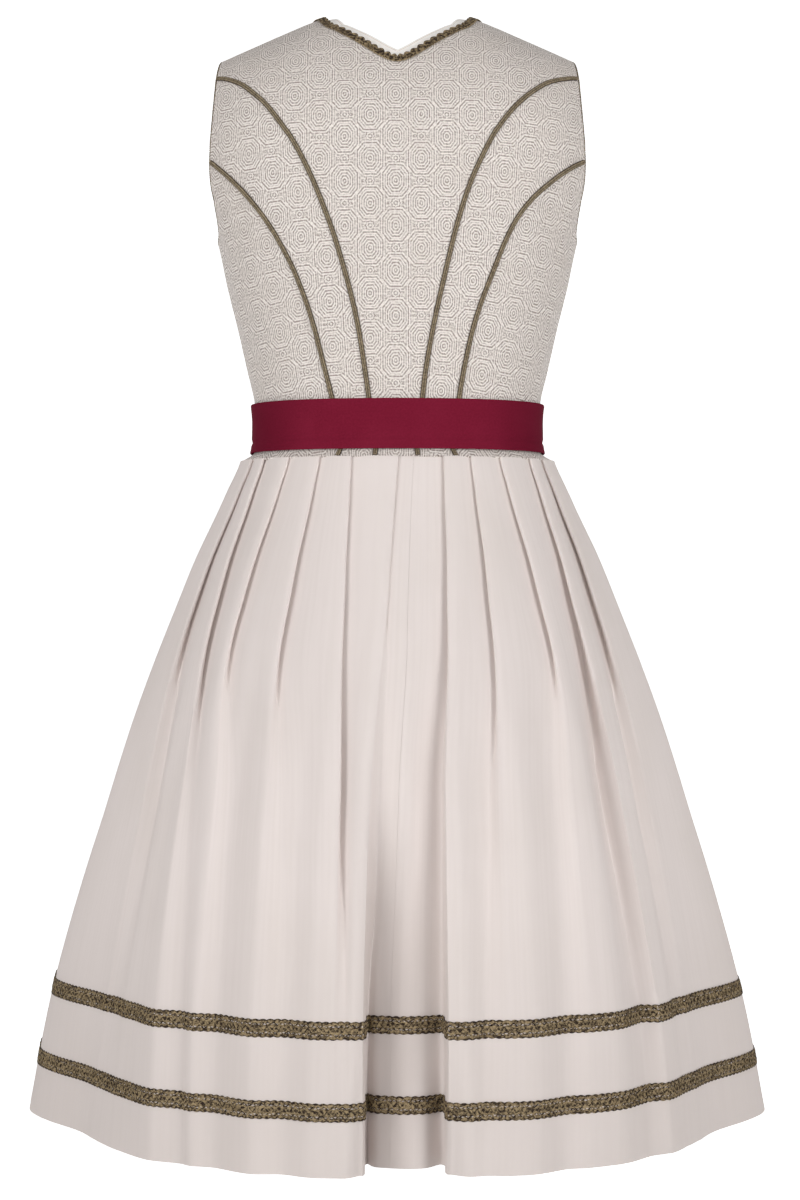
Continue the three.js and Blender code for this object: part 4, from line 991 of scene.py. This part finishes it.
# Strands with these columns, all lifted off the cloth alike
strandColumns = ("Centre", "Swing", "Heave", "Scallop", "Pitch", "Phase", "Thread", "tone")

def strandTable(lift, rows):
    return [{**dict(zip(strandColumns, row)), "Lift": lift} for row in rows]

neckLaceStrands = strandTable(neckLaceSize["lift"], (
    (0.55, 0.2, 0.15, 0, "small", 0.0, 0.5, 0.9),
    (1.6, 0.3, 0.25, 0, "small", 2.0, 0.55, 0.3),
    (2.8, 0.9, 0.2, 0, "net", 0.0, 0.5, 0.55),
    (2.8, 0.9, 0.2, 0, "net", math.pi, 0.5, 0.4),
    (4.4, 0.4, 0.25, 0, "small", 4.0, 0.55, 0.2),
    (5.2, 0, 0, 1.6, "scallop", 0.4, 0.5, 0.5),
    (5.9, 0, 0, 2.3, "scallop", 0.2, 0.5, 0.75),
    (6.1, 0, 0, 2.9, "scallop", 0.0, 0.62, 0.0),
))

def scallopedEdge(along, pitch, rise):
    return rise * np.abs(np.sin(math.pi * along / pitch))

def wholePitches(length, sizes, names):
    return {name: wholePitch(length, sizes[name]) for name in names}

def makeNeckLace():
    behind = pathOnTorso(back, wholeBackNeck)
    rightFront = pathOnTorso(front, frontNeckPath)[:-1]
    # Across points to the neck on both sides, and the halves in front meet at the middle
    leftFront = rightFront * np.array([-1, 1, 1, -1, 1, 1, -1, 1, 1])
    path = resampled(np.concatenate([leftFront, behind, rightFront[::-1]]), neckLaceSize["spacing"], False)
    evened = np.concatenate([path[:, :6], unit(path[:, 6:])], 1)
    mesh, length = pathMesh(evened, closed=False)
    pitches = wholePitches(length, neckLaceSize, ("scallop", "net", "small"))
    rise = scallopedEdge(lengthsAlong(path[:, :3]), pitches["scallop"], neckLaceCrown["rise"])
    braids = [flatBraid(path, neckLaceFoot, closed=False), flatBraid(path, neckLaceCrown, False, rise)]
    piece = threadPiece(clothName("neck_lace"), mesh, pitches, neckLaceStrands, materials["lace"], braids)
    finishPiece(piece, ["neck_lace"])

makeNeckLace()

def makeNeckTape():
    path = pathOnTorso(back, wholeBackNeck)[tape["inset"]:-tape["inset"]]
    points, across, outward = path[:, :3], unit(path[:, 3:6]), path[:, 6:]
    share = np.abs(np.linspace(-1, 1, len(path))) ** tape["fullness"]
    top = tape["middle"] + (tape["shoulder"] - tape["middle"]) * share
    top = top - tape["taper"] * share ** tape["taperPower"]
    along = lengthsAlong(points)
    rows, coordinates = [], []
    for r in np.linspace(0, 1, tape["rows"]):
        up = (bodice["neckEdge"] + (top - bodice["neckEdge"]) * (1 - r))[:, None]
        rows.append(points + across * up - outward * (tape["inside"] + up ** 2 / tape["bend"]))
        coordinates.append(np.stack([along, -r * (top - bodice["neckEdge"])], -1) * millimetre)
    points = np.stack(rows)
    grids = [(points, np.stack(coordinates), True)]
    piece = clothPiece(clothName("neck_facing"), grids, materials["tape"], tape["thickness"])
    finishPiece(piece, ["neck_facing"])

makeNeckTape()
print("neck made")

# The belt: a folded band with a soft crease, and its lapped end in front
belt = {"top": -386, "bottom": -434.5, "thickness": 1.8, "out": 4.4, "crease": -423.5, "creaseDepth": 1.2,
        "creaseWidth": 1.6, "edgeWide": 0.9, "edgeRound": 0.7, "puff": 0.35, "crowding": 0.06,
        "columns": 360, "rows": 30}
beltLap = {"from": -32.1, "to": 12.9, "columns": 60, "inset": 0.8, "gap": 0.5, "thickness": 1.6}
beltDents = [
    {"x": 118, "z": -431, "wide": 16, "tall": 3, "out": -1.0},
    {"x": 132, "z": -394, "wide": 20, "tall": 4, "out": -0.6},
    {"x": -120, "z": -428, "wide": 22, "tall": 4, "out": -0.7},
]

def beltRows(bottom, top, count):
    share = np.linspace(0, 1, count)
    return bottom + (top - bottom) * (share - belt["crowding"] * np.sin(2 * math.pi * share))

def beltGrid(turns, rises, out):
    rows = []
    for rise in rises:
        edge = min(rise - rises[0], rises[-1] - rise)
        rounding = belt["edgeRound"] * (1 - min(edge / belt["edgeWide"], 1)) ** 2
        groove = belt["creaseDepth"] * math.exp(-((rise - belt["crease"]) / belt["creaseWidth"]) ** 2)
        puff = belt["puff"] * math.sin(math.pi * (rise - rises[0]) / (rises[-1] - rises[0]))
        line = []
        for side, turn in turns:
            point = pushedOut(side, np.array([[turn, rise]]), out + puff - rounding - groove)[0]
            if side is back:
                for dent in beltDents:
                    point[1] -= swelling(dent, point[0], rise)
            line.append(point)
        rows.append(line)
    return np.array(rows)

def beltCoordinates(points):
    along = lengthsAlong(points[0])
    return np.stack(np.broadcast_arrays(along[None], points[..., 2]), -1) * millimetre

def makeBelt():
    half = belt["columns"] // 2
    turns = np.linspace(-90, 90, half + 1)
    around = [(back, t) for t in turns] + [(front, t) for t in turns[1:-1][::-1]]
    rises = beltRows(belt["bottom"], belt["top"], belt["rows"])
    points = beltGrid(around, rises, belt["out"])
    grids = [(points, beltCoordinates(points), True)]
    piece = clothPiece(clothName("belt"), grids, materials["belt"], belt["thickness"], closed=True)
    finishPiece(piece, ["belt"])
    lap = [(front, t) for t in np.linspace(beltLap["from"], beltLap["to"], beltLap["columns"])]
    rises = beltRows(belt["bottom"] + beltLap["inset"], belt["top"] - beltLap["inset"], belt["rows"])
    points = beltGrid(lap, rises, belt["out"] + belt["thickness"] + beltLap["gap"])
    grids = [(points, beltCoordinates(points), False)]
    piece = clothPiece(clothName("belt_lapped_end"), grids, materials["belt"], beltLap["thickness"])
    finishPiece(piece, ["belt_lapped_end"])

makeBelt()
print("belt made")

# The skirt's outer ring at each height
skirt = {
    "z": [-442, -450, -470, -490, -540, -590, -640, -690, -740, -790, -840, -890, -940, -990, -1080],
    "half": [156, 159, 168.5, 177.5, 201, 221, 240.5, 258.5, 274.5, 289.5, 305, 319.5, 333, 345, 362],
    "back": [103.5, 107, 114, 121, 143, 165, 186, 207, 226, 244, 261, 276, 291, 305, 331],
    "front": [104.5, 107, 113, 119, 139, 160, 180, 199, 217, 233, 249, 263, 276, 289, 311],
    "power": [2.2, 2.18, 2.14, 2.1, 2.04, 2, 2, 2, 2, 2, 1.98, 1.97, 1.96, 1.95, 1.93],
    "flat": [0, 0, 0, 0, 0, 0, 2, 4.5, 7, 10, 12.5, 15, 17, 19, 22],
    "flatBearing": 61, "flatWide": 12, "rows": 100, "rowPower": 1.12, "spacing": 3.8, "hemPerDegree": 6.1,
    "thickness": 0.9, "roll": 1.6, "crispCrest": 0.6, "crestPower": 2.2, "seamGap": 0.12, "topGap": 0.15,
    "pleatMiddle": -1.4, "lapJoin": 4,
    # A sharp fold turns back under its crest: millimetres towards the middle, drop of its lip in
    # millimetres, and share of the depth that is left
    "foldAcross": [0, 0.7, 0.9, 0.4, -2.5, -7, -6.5, -2, 1.2],
    "foldLip": [0, 0.3, 1.0, 1.8, 2.1, 2.1, 2.1, 2.1, 2.1],
    "foldShare": [0, 0, 0, 0, 0.06, 0.6, 0.93, 1, 1],
    "openFrom": 2, "openAt": 7,
}
ringHalf, ringBack, ringFront, ringPower, ringFlat = (
    smoothTable(skirt["z"], skirt[key]) for key in ("half", "back", "front", "power", "flat"))

# Knife pleats at five heights: bearing in degrees from the middle of the back, depth, and the width
# over which the cloth turns in from crest to valley. Narrow turns are sharp folds, wide ones are soft.
pleatHeights = [-442, -600, -760, -950, -1080]
pleatColumns = ("name", "bearing", "depth", "turn")
pleats = [dict(zip(pleatColumns, row)) for row in (
    ("left 5", [-66, -65, -61.8, -58.5, -56.5], [3.5, 8, 11, 8, 4], [1, 3, 15, 30, 36]),
    ("left 4", [-56, -52.6, -46, -41, -38.2], [5, 8.5, 8, 6, 4], [0.8, 1.6, 12, 28, 34]),
    ("left 3", [-41, -43.2, -37.1, -33.5, -31], [4, 8, 5, 3, 2.5], [0.8, 2, 16, 24, 24]),
    ("left 2", [-27, -28.3, -25.1, -22.9, -21.4], [4, 8, 6, 3.5, 3], [0.8, 1.4, 14, 24, 24]),
    ("left 1", [-15, -13.2, -10.9, -10, -10], [4, 7, 11, 5, 3], [0.8, 1.2, 3, 12, 18]),
    ("left of the box", [0, -3, -5.2, -5.6, -5.5], [3, 3, 13, 38, 46], [0.8, 6, 10, 5, 4]),
    ("right of the box", [15, 12.4, 9.1, 8.3, 8], [4, 9, 22, 36, 38], [0.8, 1.3, 5, 5, 4]),
    ("right 1", [25.3, 23.4, 19.4, 17.2, 15.8], [4, 8, 8, 3, 2.5], [0.8, 1.3, 8, 20, 24]),
    ("right 2", [38, 39, 34.7, 31, 28.5], [4, 8.5, 6, 3, 2.5], [0.8, 1.4, 16, 24, 24]),
    ("right 3", [55, 50.6, 48.2, 46.2, 44.6], [4, 11, 20, 13, 6], [0.8, 1.8, 8, 15, 26]),
    ("right 4", [66, 61.8, 60.5, 57, 55], [4, 9, 11, 8, 5], [1, 2.5, 14, 26, 34]),
    ("front right 5", [114, 116, 117, 119, 120], [2.5, 8, 9, 8, 6], [1, 4, 15, 26, 28]),
    ("front right 4", [128, 131, 134, 137, 138.5], [3.5, 10, 11, 8, 6], [0.8, 1.6, 10, 22, 26]),
    ("front right 3", [142, 144, 146, 149, 150.5], [3.5, 8, 5, 4, 3], [0.8, 1.5, 18, 24, 24]),
    ("front right 2", [155, 156, 158, 160, 161], [3.5, 7, 9, 8, 6], [0.8, 1.3, 6, 16, 20]),
    ("front right 1", [168, 168, 169.5, 171, 171.5], [3.5, 7, 10, 14, 16], [0.8, 1.4, 9, 14, 16]),
    ("front left 1", [192, 192, 191, 190, 189.5], [3.5, 7, 9, 13, 15], [0.8, 1.3, 10, 15, 16]),
    ("front left 2", [205, 203, 201.5, 200, 199], [3.5, 8, 6, 4, 3], [0.8, 1.5, 14, 24, 24]),
    ("front left 3", [218, 217, 214, 211, 209.5], [3.5, 7, 9, 7, 5], [0.8, 1.4, 8, 18, 24]),
    ("front left 4", [232, 229, 225, 222, 220], [3.5, 10, 8, 5, 4], [0.8, 1.8, 14, 24, 24]),
    ("front left 5", [246, 244, 242, 240, 239], [2.5, 8, 10, 8, 6], [1, 5, 16, 26, 28]),
)]
skirtPanels = [
    {"name": "skirt_back_right", "after": "left of the box", "share": 0.3},
    {"name": "skirt_front_right", "after": "right 4", "share": 0.5},
    {"name": "skirt_front_left", "after": "front right 1", "share": 0.5},
    {"name": "skirt_back_left", "after": "front left 5", "share": 0.5},
]
# Soft ridges and troughs of the lower skirt: bearing at five heights, how far out, and half width
waveColumns = ("bearing", "out", "wide")
softWaves = [dict(zip(waveColumns, row)) for row in (
    ([-56, -56, -55, -53, -52], [0, 0, 3, 3, 2], 3.2),
    ([-50, -50, -49, -47, -45], [0, 0, -2, -2, -1], 2.8),
    ([-44, -44, -43, -40, -38], [0, 0, 3, 3, 2], 3),
    ([-33, -33, -32, -29.5, -28], [0, -1, -3.5, -4, -3], 3.2),
    ([-25, -25, -24, -22, -21], [0, 0, 2.5, 3, 3], 3),
    ([-18.6, -18.6, -18.4, -17.5, -17], [0, 0, -1.5, -2, -2], 2.2),
    ([-14, -14, -13.6, -13, -12.8], [0, 0, 1.5, 2, 2], 2),
    ([-8, -8, -7.2, -7.6, -7.8], [0, 0, 2, 2, 2], 1.4),
    ([-5.2, -5.2, -5.2, -5.6, -5.7], [0, 0, -1, -5, -13], 1.1),
    ([9.1, 9.1, 9.1, 8.3, 8.0], [0, 0, -1, -5, -17], 2.3),
    ([2, 2, 1.8, 1.2, 1], [0, 1, 4, 3, 1], 2.4),
    ([12, 12, 10.6, 9.8, 9.4], [0, 0, 3, 3, 2], 1.8),
    ([17, 17, 16, 14.5, 13.5], [0, 0, -1.5, -3, -3], 2),
    ([24, 24, 23.4, 21.5, 20], [0, 0, 3, 3, 3], 2.8),
    ([31.5, 31.5, 31, 28, 26], [0, 0, -2.5, -3, -3], 2.8),
    ([39.5, 40.5, 39.5, 37, 35], [0, 0, 4, 4, 3], 3),
    ([56, 56, 54, 52, 50.5], [0, 0, 3.5, 4, 3], 3),
    ([75, 78, 80, 80, 80], [0, 1, 2, 3, 3], 5),
    ([95, 96, 98, 98, 98], [0, 1, 3, 5, 5], 6),
    ([125, 126, 127, 129, 130], [0, 0, 2.5, 3, 3], 3),
    ([150, 152, 153, 155, 156], [0, 0, -2.5, -4, -4], 3),
    ([164, 164, 165, 166, 167], [0, 0, 2.5, 3, 3], 2.6),
    ([180, 180, 180, 180, 180], [0, 0, -2, -4, -5], 4),
    ([196, 196, 195, 194, 193.5], [0, 0, 2.5, 3, 3], 2.6),
    ([212, 210, 207, 205, 204], [0, 0, -2.5, -4, -4], 3),
    ([236, 235, 233, 231, 230], [0, 0, 2.5, 3, 3], 3),
    ([262, 264, 266, 267, 267], [0, 1, 3, 5, 5], 6),
    ([282, 280, 279, 279, 279], [0, 1, 2, 3, 3], 5),
)]

def skirtRing(bearing, z):
    angle = np.radians(bearing)
    power = 2 / ringPower(z)
    cosine = np.cos(angle)
    reach = np.where(cosine > 0, ringBack(z), ringFront(z))
    return np.stack([ringHalf(z) * signedPower(np.sin(angle), power), -reach * signedPower(cosine, power),
                     np.broadcast_to(z, angle.shape)], -1)

# One degree of the ring, round this bearing
def alongRing(bearing, z):
    return skirtRing(bearing + 0.5, z) - skirtRing(bearing - 0.5, z)

def atHeights(values, z):
    return smoothTable(pleatHeights, values)(z)[:, None]

# A fold's bearings and drops from its crest inward, with a column for each entry of the fold tables
def pleatFold(pleat, z):
    foldKeys = ("foldAcross", "foldLip", "foldShare")
    foldAcross, foldLip, foldShare = (np.array(skirt[key]) for key in foldKeys)
    q = np.linspace(0, 1, len(foldAcross))
    bearing, depth, turn = (atHeights(pleat[key], z) for key in ("bearing", "depth", "turn"))
    middle = 180 if pleat["bearing"][1] > 90 else skirt["pleatMiddle"]
    towards = -1 if pleat["bearing"][1] > middle else 1
    perMillimetre = 1 / np.linalg.norm(alongRing(bearing, z[:, None]), axis=-1)
    opened = np.clip((turn - skirt["openFrom"]) / (skirt["openAt"] - skirt["openFrom"]), 0, 1)
    across = (1 - opened) * foldAcross + opened * turn * q
    bearings = bearing + towards * across * perMillimetre
    crisp = skirt["crispCrest"]
    openDrop = (1 - crisp) * q * q * (3 - 2 * q) + crisp * (1 - (1 - q) ** skirt["crestPower"])
    foldDrop = foldLip + foldShare * (depth - foldLip[-1])
    drops = (1 - opened) * foldDrop + opened * depth * openDrop
    if towards < 0:
        return bearings[:, ::-1], drops[:, ::-1]
    return bearings, drops

# Bearings and drops of the whole ring, with eased stretches between folds, and where panels start
def skirtColumns(z):
    folds = [pleatFold(pleat, z) for pleat in pleats]
    foldColumns = len(skirt["foldAcross"])
    bearings, drops, starts = [], [], {}
    column = 0
    for i, pleat in enumerate(pleats):
        nextBearing, nextDrop = folds[(i + 1) % len(folds)]
        turnOver = 360 if i == len(pleats) - 1 else 0
        leave, arrive = folds[i][0][:, -1:], nextBearing[:, :1] + turnOver
        leaveDrop, arriveDrop = folds[i][1][:, -1:], nextDrop[:, :1]
        hemSpan = float((arrive - leave)[-1, 0]) * skirt["hemPerDegree"]
        count = max(int(hemSpan / skirt["spacing"]), 3)
        share = np.linspace(0, 1, count + 2)[1:-1]
        seam = next((panel for panel in skirtPanels if panel["after"] == pleat["name"]), None)
        if seam:
            nearest = int(np.abs(share - seam["share"]).argmin())
            share[nearest] = seam["share"]
            starts[seam["name"]] = column + foldColumns + nearest
        falling = leaveDrop > arriveDrop
        eased = np.where(falling, 1 - (1 - share) ** skirt["roll"], share ** skirt["roll"])
        bearings += [folds[i][0], leave + (arrive - leave) * share]
        drops += [folds[i][1], leaveDrop + (arriveDrop - leaveDrop) * eased]
        column += foldColumns + count
    return np.concatenate(bearings, 1), np.concatenate(drops, 1), starts

def skirtSurface(z):
    bearing, drop, starts = skirtColumns(z)
    level = np.broadcast_to(z[:, None], bearing.shape)
    fromMiddle = np.minimum(np.minimum(np.abs(bearing), np.abs(bearing - 180)), np.abs(bearing - 360))
    flattened = np.exp(-((fromMiddle - skirt["flatBearing"]) / skirt["flatWide"]) ** 2)
    inward = drop + ringFlat(level) * flattened
    for soft in softWaves:
        apart = (bearing - atHeights(soft["bearing"], z) + 180) % 360 - 180
        inward = inward - atHeights(soft["out"], z) * np.exp(-(apart / soft["wide"]) ** 2)
    along = alongRing(bearing, level)
    outward = unit(np.stack([along[..., 1], -along[..., 0], np.zeros(level.shape)], -1))
    return skirtRing(bearing, level) - outward * inward[..., None], starts

def makeSkirt():
    share = np.linspace(0, 1, skirt["rows"])
    z = waistSeam + (hem - waistSeam) * share ** skirt["rowPower"]
    z[0], z[-1] = waistSeam - skirt["topGap"], hem
    points, starts = skirtSurface(z)
    columns = points.shape[1]
    clothAlong = lengthsAlong(points[-1])
    order = [panel["name"] for panel in skirtPanels]
    for i, name in enumerate(order):
        start = starts[name]
        end = starts[order[(i + 1) % len(order)]]
        if end <= start:
            end += columns
        picked = np.arange(start, end + 1) % columns
        lap = np.where(np.arange(start, end + 1) >= columns, clothAlong[-1] + skirt["lapJoin"], 0)
        grid = points[:, picked].copy()
        grid[:, 0] += unit(grid[:, 1] - grid[:, 0]) * skirt["seamGap"] / 2
        grid[:, -1] += unit(grid[:, -2] - grid[:, -1]) * skirt["seamGap"] / 2
        u = clothAlong[picked] + lap
        coordinates = np.stack(np.broadcast_arrays(u[None], z[:, None]), -1) * millimetre
        grids = [(grid, coordinates, True)]
        piece = clothPiece(clothName(name), grids, materials["cotton"], skirt["thickness"])
        finishPiece(piece, [name])

makeSkirt()
print("skirt made")

# Lace bands on the skirt: flat braids and wavy gimps, with small eyes between them in two rows
laceBand = {"half": 8.0, "scallop": 6.6, "net": 5.3, "long": 8.2, "spacing": 1.35, "lift": 1.35,
            "upper": -959, "lower": -1027}
laceBraids = [
    {"low": -3.0, "high": 3.0, "lift": 0.7, "thickness": 0.5, "tone": 0.45},
    {"low": 4.4, "high": 6.5, "lift": 0.7, "thickness": 0.5, "tone": 0.35, "outerRise": 0.9},
    {"low": -4.4, "high": -6.5, "lift": 0.7, "thickness": 0.5, "tone": 0.35, "outerRise": -0.9},
]
laceStrands = strandTable(laceBand["lift"], (
    (6.4, 0, 0, 1.1, "scallop", 0.0, 0.6, 0.1),
    (-6.4, 0, 0, -1.1, "scallop", 0.0, 0.6, 0.1),
    (5.3, 0.7, 0.2, 0, "net", 0.6, 0.55, 0.75),
    (-5.3, 0.7, 0.2, 0, "net", 2.6, 0.55, 0.75),
    (3.7, 1.3, 0.3, 0, "long", 0.0, 0.6, 0.15),
    (3.8, 1.1, -0.3, 0, "net", 3.14, 0.55, 0.65),
    (-3.7, 1.3, 0.3, 0, "long", 1.57, 0.6, 0.15),
    (-3.8, 1.1, -0.3, 0, "net", 4.71, 0.55, 0.65),
    (2.0, 0.6, 0.1, 0, "long", 1.0, 0.55, 0.8),
    (-2.0, 0.6, 0.1, 0, "net", 3.0, 0.55, 0.8),
    (0.0, 1.9, 0.3, 0, "scallop", 0.8, 0.6, 0.05),
    (0.0, 1.9, -0.3, 0, "long", 3.94, 0.55, 0.85),
))

def makeLaceBand(node, height):
    half = laceBand["half"]
    rings, _ = skirtSurface(np.array([height + half, height, height - half], float))
    middle = rings[1]
    across = (rings[0] - rings[2]) / (2 * half)
    following = np.roll(middle, -1, 0) - np.roll(middle, 1, 0)
    outward = unit(np.cross(following, across))
    path = resampled(np.concatenate([middle, across, outward], 1), laceBand["spacing"], True)
    path[:, 6:] = unit(path[:, 6:])
    mesh, length = pathMesh(path, closed=True)
    pitches = wholePitches(length, laceBand, ("scallop", "net", "long"))
    along = lengthsAlong(path[:, :3])
    braids = []
    for braid in laceBraids:
        rise = scallopedEdge(along, pitches["scallop"], braid.get("outerRise", 0))
        braids.append(flatBraid(path, braid, True, rise))
    piece = threadPiece(clothName(node), mesh, pitches, laceStrands, materials["lace"], braids)
    finishPiece(piece, [node])

makeLaceBand("lace_upper", laceBand["upper"])
makeLaceBand("lace_lower", laceBand["lower"])
print("lace made")
